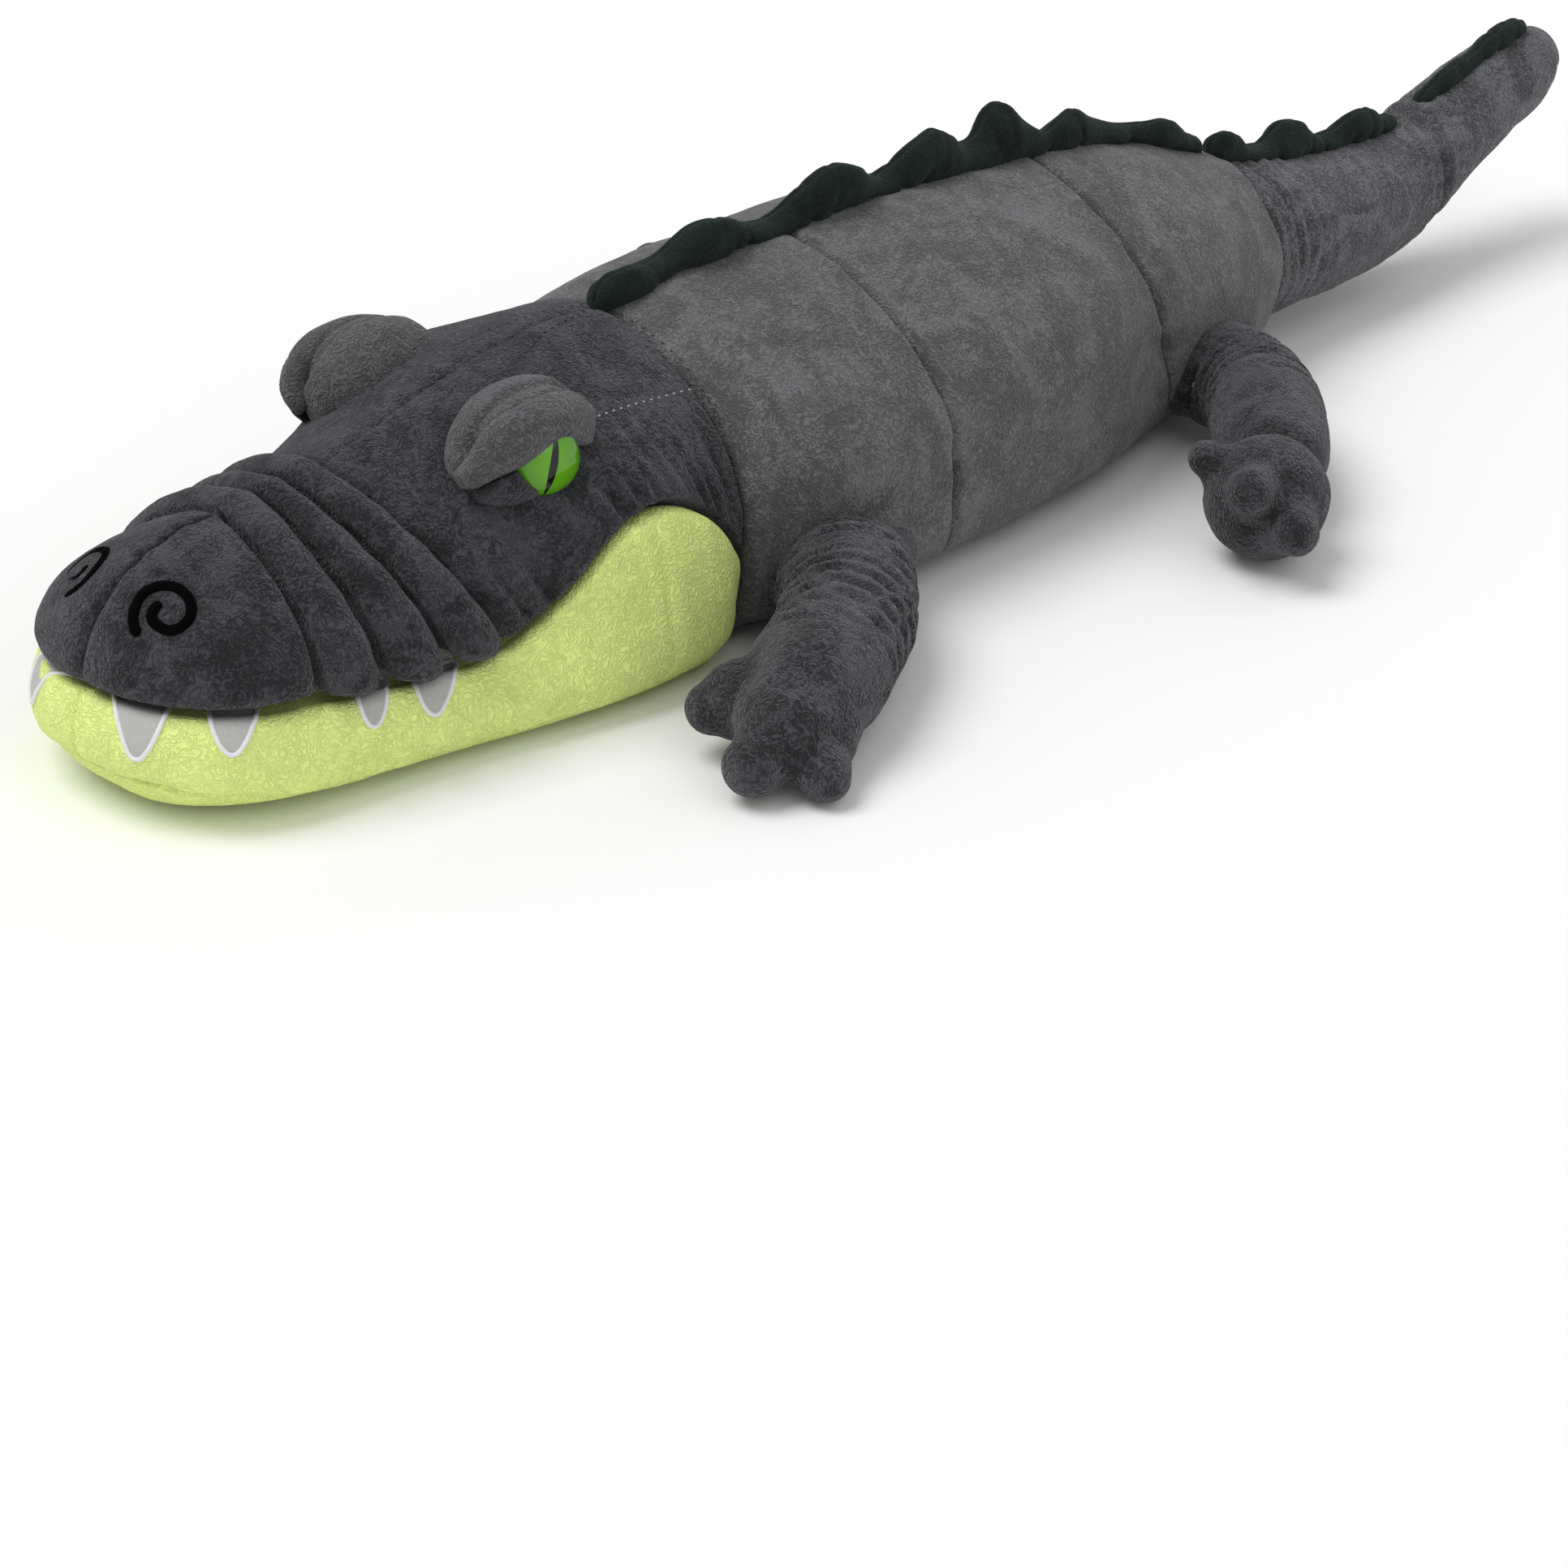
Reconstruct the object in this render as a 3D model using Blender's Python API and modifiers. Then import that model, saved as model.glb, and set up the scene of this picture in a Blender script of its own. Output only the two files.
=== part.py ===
# A stuffed plush crocodile, lying on its belly, built piece by piece.
# Metres, +Z up. The nose points along -Y and the tail along +Y. The crocodile's own left side is +X.
# The origin is on the floor under the middle of the belly, and X = 0 is the plane of symmetry.

import math

import bmesh
import bpy
from mathutils import Matrix, Vector
from mathutils.bvhtree import BVHTree

# Overall sizes
NECK_FROM_ORIGIN = 0.195      # origin to the sewn neck ring
HEAD_LENGTH = 0.380           # neck ring to nose tip
HEAD_HALF_WIDTH = 0.125
HEAD_HEIGHT = 0.187
SNOUT_HALF_WIDTH = 0.093
NOSE_LENGTH = 0.089           # last snout roll to nose tip
CHEST_LENGTH = 0.150
MIDDLE_LENGTH = 0.233
HIP_LENGTH = 0.168
BODY_HALF_WIDTH = 0.142
BODY_HEIGHT = 0.193
TAIL_BASE_RADIUS = 0.060
TAIL_LENGTH = 0.205           # tail joint to tail tip joint
TAIL_TIP_LENGTH = 0.150
TAIL_RISE = 0.070             # how far the tip of the tail curls up

# Fabric, seams and clearances
GAP = 0.0003                  # between pieces that touch
SKIN = 0.0040                 # plush fabric with its pile
SEAM_PINCH = 0.0035           # how deep a seam is drawn in
STUFFING_INSET = 0.0014       # stuffing to the inside of the skin
HEAD_STUFFING_INSET = 0.0020
LEG_STUFFING_INSET = 0.0006
JOINT_GAP = 0.0013            # round a seam that flexes
FLOOR_CUT = 0.0005            # how much a form is pressed flat on the floor
BELLY_PRESS = 0.0012          # how much more between two seams of the belly
OVERRUN = 0.0100              # how far a cutter reaches past what it cuts
SEAT_DEPTH = 0.0120           # how deep a sewn-on piece's seat is cut
WELD = 0.00001

# Snout rolls
ROLL_PUFF = 0.0085            # how far a roll swells out past its seams
LIP_OVERHANG = 0.0030         # upper lip stands out past the jaw

# Crest
CREST_HEIGHT = 0.031
CREST_THICKNESS = 0.0120
CREST_ROUNDING = 0.0035
CREST_ROOT = 0.0060           # how deep the crest's base starts below the back
CREST_VALLEY = 0.0070         # height of the crest between two lobes

# Eyes, sized as shares of the head's height
MOUND_HALF_LENGTH_SHARE = 0.2727273
MOUND_HALF_HEIGHT_SHARE = 0.2139037
MOUND_HALF_THICKNESS_SHARE = 0.1711230
UPPER_LID_RADIUS_SHARE = 0.0668449
LOWER_LID_RADIUS_SHARE = 0.0454545
EYE_STEM_LENGTH_SHARE = 0.0454545
WASHER_RADIUS_SHARE = 0.0347594
EYE_RADIUS = 0.0210
EYE_BULGE = 0.0110            # half the thickness of the lens that the eye's dome is cut from
EYE_STEM_RADIUS = 0.0025
EYE_STEM_LENGTH = EYE_STEM_LENGTH_SHARE * HEAD_HEIGHT
WASHER_RADIUS = WASHER_RADIUS_SHARE * HEAD_HEIGHT
WASHER_THICKNESS = 0.0018
WASHER_CLEARANCE = 0.0005
MOUND_HALF_LENGTH = MOUND_HALF_LENGTH_SHARE * HEAD_HEIGHT
MOUND_HALF_HEIGHT = MOUND_HALF_HEIGHT_SHARE * HEAD_HEIGHT
MOUND_HALF_THICKNESS = MOUND_HALF_THICKNESS_SHARE * HEAD_HEIGHT
MOUND_SEAT_DEPTH = 0.0220     # past the head's stuffing
UPPER_LID_RADIUS = UPPER_LID_RADIUS_SHARE * HEAD_HEIGHT
LOWER_LID_RADIUS = LOWER_LID_RADIUS_SHARE * HEAD_HEIGHT

# Nostrils and teeth
NOSTRIL_RADIUS = 0.0175
NOSTRIL_THREAD_RADIUS = 0.0026
TOOTH_THICKNESS = 0.0018
TOOTH_ROOT = 0.0020           # how far a tooth's slab reaches into the jaw before it is cut
TOOTH_LENGTH = 0.0400         # the front tooth
TOOTH_HALF_WIDTH = 0.0175
TOOTH_UNDER_LIP = 0.0025      # from the lip of the jaw to the top of a tooth

# Jaw
CHIN_RISE = 0.0150            # how far the chin seam climbs at the front
JAW_LIP_DROP = 0.0012         # lip of the jaw below the lip of the nose
JAW_FRONT_PUFF = 0.0070       # how far the jaw swells out below the nose

# Legs: the root is a flattened ball that turns in the body, the rest reaches sideways and forwards
FRONT_ROOT_RADIUS = 0.0640
FRONT_ROOT_HALF_HEIGHT = 0.0310
FRONT_LEG_HALF_WIDTH = 0.0385
FRONT_LEG_HALF_HEIGHT = 0.0385
FRONT_LEG_REACH = 0.1350      # root centre to the end of the foot, sideways
FRONT_LEG_STRIDE = 0.1750     # the same, forwards
REAR_ROOT_RADIUS = 0.0570
REAR_ROOT_HALF_HEIGHT = 0.0300
REAR_LEG_HALF_WIDTH = 0.0400
REAR_LEG_HALF_HEIGHT = 0.0400
REAR_LEG_REACH = 0.1830
REAR_LEG_STRIDE = 0.1450
TOE_RADIUS = 0.0150
TOE_BALL_RADIUS = 0.0110

# Counts of control points
BODY_SIDES = 12
LEG_SIDES = 8
TAIL_SIDES = 8
STUFFING_SIDES = 14
STUFFING_LEG_SIDES = 8
HOLLOW_SHORT_COUNT = 2          # sections of a foot that its hollow stops short of
SMOOTH_LEVELS = 1

# Places along the head, from the neck ring (0) to the nose tip (1), for the lip and for the top
ROLL_SEAM_LIP_SHARES = (0.766, 0.655, 0.550, 0.450)
ROLL_SEAM_TOP_SHARES = (0.737, 0.671, 0.613, 0.555)
# Crown sections: lip place, top place (shares of the head's length), half width, lip height, top height
CROWN_SHARES = (
    (0.00, 0.00, 0.955, 0.385, 0.985),
    (0.06, 0.09, 0.985, 0.520, 1.005),
    (0.15, 0.21, 1.000, 0.630, 0.985),
    (0.25, 0.33, 0.985, 0.600, 0.940),
    (0.35, 0.45, 0.935, 0.440, 0.865),
    (0.45, 0.555, 0.880, 0.335, 0.800),
)
# At the roll seams: half width and height of the lip and of the top
ROLL_SHARES = (
    (0.755, 0.350, 0.760),
    (0.800, 0.325, 0.770),
    (0.840, 0.315, 0.785),
    (0.880, 0.335, 0.800),
)
# Heights of the jaw's lip, bulge, lower side and chin seam at the neck
NECK_JAW_SHARES = (0.375, 0.250, 0.110, 0.050)
# Jaw side: place, half width of the lip, height of the lip, and half widths and heights of the
# bulge, the lower side and the chin seam
JAW_SHARES = (
    (0.06, 0.970, 0.505, 1.040, 0.360, 1.070, 0.160, 0.960, 0.050),
    (0.15, 0.985, 0.615, 1.060, 0.440, 1.110, 0.170, 1.020, 0.055),
    (0.25, 0.970, 0.585, 1.030, 0.400, 1.090, 0.160, 1.020, 0.055),
    (0.35, 0.915, 0.425, 0.970, 0.300, 1.035, 0.145, 0.985, 0.055),
    (0.45, 0.855, 0.317, 0.907, 0.245, 0.970, 0.135, 0.930, 0.055),
    (0.55, 0.820, 0.305, 0.875, 0.235, 0.920, 0.135, 0.880, 0.060),
    (0.655, 0.780, 0.315, 0.835, 0.240, 0.870, 0.140, 0.830, 0.065),
    (0.766, 0.740, 0.340, 0.795, 0.260, 0.825, 0.155, 0.790, 0.075),
)
NOSE_LIP_SHARE = 0.365        # lip height at the nose tip, of the head's height
NOSE_TOP_SHARE = 0.775
NOSE_TURN_DEGREES = (0, 24, 46, 68, 90)
NOSE_RISE_DEGREES = (0, 24, 48, 70, 90)
NOSE_BLUNTNESS = 2.6
NOSE_FALL = 1.5                # how fast the nose narrows towards its top
SHOULDER_FALL = 1.2            # the same for the rolls and the crown
# Body sections: place along the section, half width, top height, lean of the seam plane
CHEST_SHARES = (
    (0.00, 0.865, 0.958, 0.00),
    (0.30, 0.940, 0.985, -0.02),
    (0.70, 0.990, 0.997, -0.03),
    (1.00, 1.000, 1.000, -0.04),
)
MIDDLE_SHARES = (
    (0.00, 1.000, 1.000, -0.04),
    (0.30, 0.985, 1.010, -0.08),
    (0.70, 0.875, 0.995, -0.20),
    (1.00, 0.715, 0.965, -0.27),
)
HIP_SHARES = (
    (0.00, 0.715, 0.965, -0.27),
    (0.33, 0.670, 0.925, -0.18),
    (0.68, 0.560, 0.820, -0.08),
    (1.00, 0.470, 0.700, 0.00),
)
BACK_ROUNDNESS = 2.1
BELLY_ROUNDNESS = 5.0
# Tail: place along the piece, radius (shares of the tail's base radius), height of the axis
# (share of the rise), after the ball at its root
TAIL_SHARES = (
    (0.26, 0.860, 0.000),
    (0.48, 0.860, -0.070),
    (0.76, 0.770, 0.000),
)
TAIL_END_RADIUS_SHARE = 0.680
TAIL_TIP_SHARES = (
    (0.30, 0.560, 0.270),
    (0.52, 0.550, 0.460),
    (0.78, 0.520, 0.640),
    (0.94, 0.400, 0.730),
    (1.00, 0.180, 0.750),
)
TAIL_MID_RISE_SHARE = 0.00
BALL_DEGREES = (-42, -20, 0, 20)
BALL_FULLNESS_SHARE = 1.02     # makes up for what the smoothing along the tail takes off the ball
# Places of the crest's lobes: start and end along the piece they are sewn to, and height
CREST_BACK_SHARES = (
    (0.012, 0.070, 0.300),
    (0.070, 0.250, 0.680),
    (0.250, 0.425, 1.000),
    (0.425, 0.570, 1.000),
    (0.570, 0.680, 1.000),
    (0.680, 0.830, 0.680),
    (0.830, 0.955, 0.620),
)
CREST_TAIL_SHARES = (
    (0.160, 0.360, 0.550),
    (0.360, 0.580, 0.760),
    (0.580, 0.860, 0.700),
)
CREST_TIP_SHARES = (
    (0.260, 0.520, 0.420),
    (0.520, 0.880, 0.500),
)
LOBE_STEP_SHARES = (0.00, 0.18, 0.36, 0.50, 0.64, 0.82)
LOBE_POINTEDNESS = 1.6
# Legs: reach, stride, height of the axis, half width, half height, and the way the leg points
FRONT_LEG_SHARES = (
    (0.42, 0.17, 1.01, 0.94, 0.82, -38),
    (0.60, 0.31, 1.00, 0.99, 1.00, -47),
    (0.80, 0.54, 0.99, 0.98, 1.00, -57),
    (0.94, 0.77, 0.95, 1.05, 0.95, -62),
    (1.03, 0.93, 0.78, 0.86, 0.72, -64),
    (1.06, 1.00, 0.72, 0.45, 0.38, -64),
)
# The leg on the far side is laid back along the body, where the head and the body hide it
SWEPT_LEG_SHARES = (
    (0.42, -0.11, 1.01, 0.85, 0.82, 26),
    (0.62, -0.32, 1.00, 0.86, 0.94, 52),
    (0.72, -0.57, 0.97, 0.86, 0.96, 76),
    (0.73, -0.82, 0.92, 0.92, 0.90, 86),
    (0.72, -0.99, 0.78, 0.78, 0.70, 90),
    (0.71, -1.06, 0.72, 0.42, 0.38, 90),
)
REAR_LEG_SHARES = (
    (0.30, 0.14, 0.97, 0.70, 0.76, -27),
    (0.53, 0.37, 1.02, 0.88, 0.98, -38),
    (0.71, 0.63, 1.04, 1.02, 1.05, -45),
    (0.89, 0.84, 1.00, 1.05, 1.00, -50),
    (0.99, 0.97, 0.92, 0.78, 0.74, -52),
    (1.03, 1.02, 0.87, 0.40, 0.38, -52),
)
FRONT_ROOT_HEADING = -28
SWEPT_ROOT_HEADING = 22
REAR_ROOT_HEADING = -19
# Root centres: along the body from the neck, sideways, and height
FRONT_ROOT_SHARES = (0.127, 0.740, 0.202)
REAR_ROOT_SHARES = (0.815, 0.507, 0.200)
ROOT_FLATNESS = 4
# Toes: reach, stride and height of the place they grow from, then of each tip
FRONT_TOE_SHARES = ((0.89, 0.78, 0.86), (0.60, 0.95, 0.74), (1.07, 1.12, 0.53), (1.28, 0.96, 0.50))
SWEPT_TOE_SHARES = ((0.69, -0.82, 0.86), (0.46, -1.12, 0.66), (0.67, -1.20, 0.56), (0.90, -1.08, 0.50))
REAR_TOE_SHARES = ((0.81, 0.72, 1.05), (0.53, 0.80, 1.10), (0.79, 1.04, 0.86), (1.10, 1.10, 0.50))
TOE_CENTRE_SHARE = 0.6
ROLL_STEP_SHARES = (0.0, 0.25, 0.75, 1.0)
# The line that the head's stuffing is cast from: along the head and height at its start and its end
HEAD_FILL_SHARES = (0.02, 0.45, 0.93, 0.40)
FILL_END_SHARE = 0.25
CHIN_COLUMN_SHARES = (1.0, 0.62, 0.0, -0.62, -1.0)
JAW_PROUD_SHARES = (0.0, 1.0, 1.0, 0.0)
JAW_LIFT_SHARE = 0.3
# Eye mounds: along the head, sideways and height of the centre
MOUND_SHARES = (0.336, 0.545, 0.822)
# From the mound's centre, in shares of its half sizes: the eye and the lids, with the lids' thickness
EYE_PLACE_SHARES = (0.94, 0.10, -0.03)
EYE_AIM = (0.93, -0.28, 0.10)
UPPER_LID_SHARES = (
    (0.52, -1.00, 0.12, 0.45),
    (0.66, -0.82, 0.36, 0.85),
    (0.74, -0.48, 0.57, 1.00),
    (0.74, 0.05, 0.70, 1.00),
    (0.80, 0.55, 0.52, 0.95),
    (0.86, 0.80, 0.19, 0.60),
)
LOWER_LID_SHARES = (
    (0.60, -0.92, -0.12, 0.50),
    (0.78, -0.64, -0.31, 0.90),
    (0.88, -0.33, -0.45, 1.00),
    (0.90, -0.05, -0.58, 0.90),
    (0.88, 0.24, -0.60, 0.45),
)
# Nostrils: place on the nose (along the head, sideways, height) and the spiral as angle and radius
NOSTRIL_SHARES = (0.903, 0.288, 0.620)
NOSTRIL_AIM = (0.45, -0.70, 0.55)
NOSTRIL_SPIRAL = (
    (221, 1.10), (178, 0.97), (134, 0.93), (90, 0.95), (43, 0.98), (11, 0.96), (-24, 0.80),
    (-68, 0.58), (-138, 0.42), (-199, 0.36), (-270, 0.30),
)
# Teeth: along the head, the way they face from straight sideways, half width, length
TOOTH_SHARES = (
    (0.987, 61, 0.97, 0.82),
    (0.882, 30, 0.78, 0.55),
    (0.676, 0, 0.62, 0.56),
    (0.582, 0, 0.78, 0.66),
)
TOOTH_TURN_SHARE = 1.00
TOOTH_OUTLINE_SHARES = ((0.00, 1.00), (0.45, 0.88), (0.80, 0.56), (1.00, 0.14))
TOOTH_COLUMN_SHARES = (-1.0, 0.0, 1.0)

COLORS = {
    "charcoal": (0.052, 0.052, 0.058, 1.0),
    "grey": (0.120, 0.120, 0.125, 1.0),
    "leg_grey": (0.075, 0.075, 0.080, 1.0),
    "tail_grey": (0.100, 0.100, 0.108, 1.0),
    "lime": (0.640, 0.800, 0.215, 1.0),
    "crest_green": (0.014, 0.022, 0.019, 1.0),
    "thread_black": (0.006, 0.006, 0.007, 1.0),
    "tooth_white": (0.560, 0.570, 0.550, 1.0),
    "eye_green": (0.120, 0.420, 0.020, 1.0),
    "washer_white": (0.700, 0.700, 0.680, 1.0),
    "stuffing_white": (0.800, 0.800, 0.780, 1.0),
}
ROUGHNESS = {"eye_green": 0.08, "washer_white": 0.45}
FABRIC_ROUGHNESS = 0.95

for old in list(bpy.data.objects):
    bpy.data.objects.remove(old, do_unlink=True)

PARTS = bpy.data.collections.new("plush_crocodile")
CUTTERS = bpy.data.collections.new("cutters")
bpy.context.scene.collection.children.link(PARTS)
bpy.context.scene.collection.children.link(CUTTERS)


def material(name):
    """The Principled material of one colour, made once."""
    found = bpy.data.materials.get(name)
    if found:
        return found
    made = bpy.data.materials.new(name)
    made.use_nodes = True
    shader = made.node_tree.nodes["Principled BSDF"]
    shader.inputs["Base Color"].default_value = COLORS[name]
    shader.inputs["Roughness"].default_value = ROUGHNESS.get(name, FABRIC_ROUGHNESS)
    shader.inputs["Metallic"].default_value = 0.0
    made.diffuse_color = COLORS[name]
    return made


def add_object(name, mesh, color, pivot=None):
    """A part, its origin moved to pivot where one is given."""
    made = bpy.data.objects.new(name, mesh)
    PARTS.objects.link(made)
    mesh.materials.append(material(color))
    mesh.shade_smooth()
    if pivot is not None:
        mesh.transform(Matrix.Translation(-Vector(pivot)))
        made.location = pivot
    return made


def add_cutter(name, mesh, like=None):
    made = bpy.data.objects.new(name, mesh)
    CUTTERS.objects.link(made)
    made.hide_render = True
    made.display_type = "WIRE"
    if like is not None:
        made.matrix_world = like.matrix_world
        made.location = like.location
    return made


def fit_ring(places, centre, half_width, up, down):
    """Moves the control points of a closed ring so that the smooth curve through them has the sizes asked."""
    count = len(places)
    smooth = [(places[i - 1] + 4 * places[i] + places[(i + 1) % count]) / 6 for i in range(count)]
    wide = half_width / max(abs(p.x) for p in smooth)
    high = up / max(p.y for p in smooth)
    low = down / -min(p.y for p in smooth)
    fitted = []
    for place in places:
        height = place.y * (high if place.y > 0 else low)
        fitted.append(centre + Vector((place.x * wide, height)))
    return fitted


def round_ring(half_width, top, bottom, sides, upper=2.0, lower=2.0):
    """Control points of a closed section, from its right over the top, as (across, height)."""
    middle = (top + bottom) / 2
    half = (top - bottom) / 2
    places = []
    for step in range(sides):
        angle = 2 * math.pi * step / sides
        power = 2 / (upper if math.sin(angle) >= 0 else lower)
        across = math.copysign(abs(math.cos(angle)) ** power, math.cos(angle))
        height = math.copysign(abs(math.sin(angle)) ** power, math.sin(angle))
        places.append(Vector((across, height)))
    return fit_ring(places, Vector((0, middle)), half_width, half, half)


def cage(rows, around=False, close_first=False, close_last=False, inside=None):
    """A mesh of control points in rows, joined round where asked, its faces turned away from inside."""
    columns = len(rows[0]) + (1 if around else 0)
    shape = bmesh.new()
    bmesh.ops.create_grid(shape, x_segments=columns - 1, y_segments=len(rows) - 1, size=1)
    shape.verts.ensure_lookup_table()
    places = [row[i % len(row)] for row in rows for i in range(columns)]
    for vertex, place in zip(list(shape.verts), places):
        vertex.co = place
    ends = [row for row, wanted in ((rows[0], close_first), (rows[-1], close_last)) if wanted]
    bmesh.ops.remove_doubles(shape, verts=shape.verts, dist=WELD)
    for row in ends:
        near = [edge for edge in shape.edges if edge.is_boundary and all(
            min((vertex.co - place).length for place in row) < WELD for vertex in edge.verts)]
        bmesh.ops.holes_fill(shape, edges=near, sides=0)
    bmesh.ops.recalc_face_normals(shape, faces=shape.faces)
    if not (close_first and close_last):
        centre = inside or sum(places, Vector()) / len(places)
        outward = sum(face.normal.dot(face.calc_center_median() - centre) * face.calc_area()
                      for face in shape.faces)
        if outward < 0:
            bmesh.ops.reverse_faces(shape, faces=shape.faces)
    mesh = bpy.data.meshes.new("cage")
    shape.to_mesh(mesh)
    shape.free()
    return mesh


def smooth(part, levels=SMOOTH_LEVELS):
    rounding = part.modifiers.new("rounding", "SUBSURF")
    rounding.levels = levels
    rounding.render_levels = levels
    rounding.boundary_smooth = "PRESERVE_CORNERS"
    return part


def facet(part):
    """Splits a part's faces one way, so that a cutter of the same shape stays clear of it all over."""
    facets = part.modifiers.new("facets", "TRIANGULATE")
    facets.quad_method = "FIXED"
    return part


def thicken(part, inward, outward=0.0):
    """Gives an open surface a thickness inwards, and outwards for a cutter that leaves a clearance."""
    shell = part.modifiers.new("thickness", "SOLIDIFY")
    shell.thickness = inward + outward
    shell.offset = 2 * outward / (inward + outward) - 1
    return facet(part)


def cut(part, cutter, operation="DIFFERENCE"):
    boolean = part.modifiers.new(operation.lower() + "_" + cutter.name, "BOOLEAN")
    boolean.operation = operation
    boolean.solver = "EXACT"
    boolean.object = cutter
    return part


def skin_panel(name, rows, color, around=False, inside=None, pivot=None):
    """A sewn panel of plush: an open surface, rounded, with the fabric's thickness inwards."""
    part = add_object(name, cage(rows, around=around, inside=inside), color, pivot)
    smooth(part)
    return thicken(part, SKIN)


def seat_cutter(panel, proud=GAP, depth=SEAT_DEPTH):
    """The space that a panel takes, with a clearance outside and a depth below its surface."""
    made = add_cutter("{}_seat_{:.1f}".format(panel.name, proud * 1e4), panel.data.copy(), panel)
    smooth(made)
    return thicken(made, depth, proud)


def box_mesh(low, high):
    shape = bmesh.new()
    bmesh.ops.create_cube(shape, size=1)
    low, high = Vector(low), Vector(high)
    bmesh.ops.scale(shape, vec=high - low, verts=shape.verts)
    bmesh.ops.translate(shape, vec=(high + low) / 2, verts=shape.verts)
    mesh = bpy.data.meshes.new("box")
    shape.to_mesh(mesh)
    shape.free()
    return mesh


def ellipsoid_mesh(radii, segments=16, rings=8, turn=None, place=(0, 0, 0)):
    shape = bmesh.new()
    bmesh.ops.create_uvsphere(shape, u_segments=segments, v_segments=rings, radius=1)
    bmesh.ops.scale(shape, vec=radii, verts=shape.verts)
    if turn is not None:
        bmesh.ops.transform(shape, matrix=turn, verts=shape.verts)
    bmesh.ops.translate(shape, vec=place, verts=shape.verts)
    mesh = bpy.data.meshes.new("ellipsoid")
    shape.to_mesh(mesh)
    shape.free()
    mesh.shade_smooth()
    return mesh


def curve_to_mesh(curve_object):
    """The closed mesh of a curve, its caps welded; the curve is removed."""
    graph = bpy.context.evaluated_depsgraph_get()
    mesh = bpy.data.meshes.new_from_object(curve_object.evaluated_get(graph))
    shape = bmesh.new()
    shape.from_mesh(mesh)
    bmesh.ops.remove_doubles(shape, verts=shape.verts, dist=WELD)
    bmesh.ops.transform(shape, matrix=curve_object.matrix_world, verts=shape.verts)
    bmesh.ops.recalc_face_normals(shape, faces=shape.faces)
    shape.to_mesh(mesh)
    shape.free()
    bpy.data.objects.remove(curve_object, do_unlink=True)
    return mesh


def rod_mesh(start, end, radius, segments=12):
    """A closed cylinder from one place to another."""
    shape = bmesh.new()
    start, end = Vector(start), Vector(end)
    along = end - start
    bmesh.ops.create_cone(shape, cap_ends=True, segments=segments, radius1=radius, radius2=radius,
                          depth=along.length)
    turn = Matrix.Translation((start + end) / 2) @ along.to_track_quat("Z", "X").to_matrix().to_4x4()
    bmesh.ops.transform(shape, matrix=turn, verts=shape.verts)
    mesh = bpy.data.meshes.new("rod")
    shape.to_mesh(mesh)
    shape.free()
    return mesh


def tube_mesh(points, radius_shares, radius, sides_level=1):
    """A closed round tube through some places, its radius a share at each."""
    data = bpy.data.curves.new("tube", "CURVE")
    data.dimensions = "3D"
    data.bevel_depth = radius
    data.bevel_resolution = sides_level
    data.resolution_u = 2
    data.use_fill_caps = True
    spline = data.splines.new("NURBS")
    spline.points.add(len(points) - 1)
    for point, place, share in zip(spline.points, points, radius_shares):
        point.co = (place[0], place[1], place[2], 1)
        point.radius = share
    spline.use_endpoint_u = True
    spline.order_u = 3
    made = bpy.data.objects.new("tube", data)
    CUTTERS.objects.link(made)
    return curve_to_mesh(made)


def outline_mesh(outline, thickness):
    """A flat outline of (y, z) places in the plane of symmetry, extruded to both sides of it."""
    data = bpy.data.curves.new("outline", "CURVE")
    data.dimensions = "2D"
    data.fill_mode = "BOTH"
    data.extrude = thickness / 2
    spline = data.splines.new("POLY")
    spline.points.add(len(outline) - 1)
    for point, (along, height) in zip(spline.points, outline):
        point.co = (along, height, 0, 1)
    spline.use_cyclic_u = True
    made = bpy.data.objects.new("outline", data)
    CUTTERS.objects.link(made)
    made.matrix_world = Matrix(((0, 0, 1, 0), (1, 0, 0, 0), (0, 1, 0, 0), (0, 0, 0, 1)))
    return curve_to_mesh(made)


def surface_of(parts):
    """The finished faces of some parts together, for finding places on them."""
    bpy.context.view_layer.update()
    graph = bpy.context.evaluated_depsgraph_get()
    vertices, faces = [], []
    for part in parts:
        finished = part.evaluated_get(graph)
        mesh = finished.to_mesh()
        start = len(vertices)
        vertices += [part.matrix_world @ vertex.co for vertex in mesh.vertices]
        faces += [[start + index for index in polygon.vertices] for polygon in mesh.polygons]
        finished.to_mesh_clear()
    return BVHTree.FromPolygons(vertices, faces)


FLOOR = add_cutter("floor", box_mesh((-1, -1, -1), (1, 1, 0)))


def head_y(share):
    return -NECK_FROM_ORIGIN - share * HEAD_LENGTH


def stuffing(name, skins, start, end, count, pivot=None, shift=0.0, inset=STUFFING_INSET):
    """A filling inside some skins: rings cast outwards from a line, level, between two places on it."""
    inside = surface_of(skins)
    start, end = Vector(start), Vector(end)
    across = (end - start).cross(Vector((0, 0, 1))).normalized()
    step = 2 * math.pi / STUFFING_SIDES
    rows = []
    for index in range(count):
        centre = start.lerp(end, index / (count - 1))
        row = []
        for side in range(STUFFING_SIDES):
            reach = []
            for turn in (-step / 2, 0, step / 2):
                angle = side * step + turn
                direction = across * math.cos(angle) + Vector((0, 0, math.sin(angle)))
                for nudge in (-shift, 0.0, shift):
                    spot = centre + (end - start).normalized() * nudge
                    distance = inside.ray_cast(spot, direction)[3]
                    if distance is not None:
                        reach.append(distance)
            angle = side * step
            direction = across * math.cos(angle) + Vector((0, 0, math.sin(angle)))
            row.append(centre + direction * (min(reach) - inset))
        rows.append(row)
    filling = cage(rows, around=True, close_first=True, close_last=True)
    return facet(add_object(name, filling, "stuffing_white", pivot))


# The body: chest, middle and hip, each a tube of fabric open at its sewn ends

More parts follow.
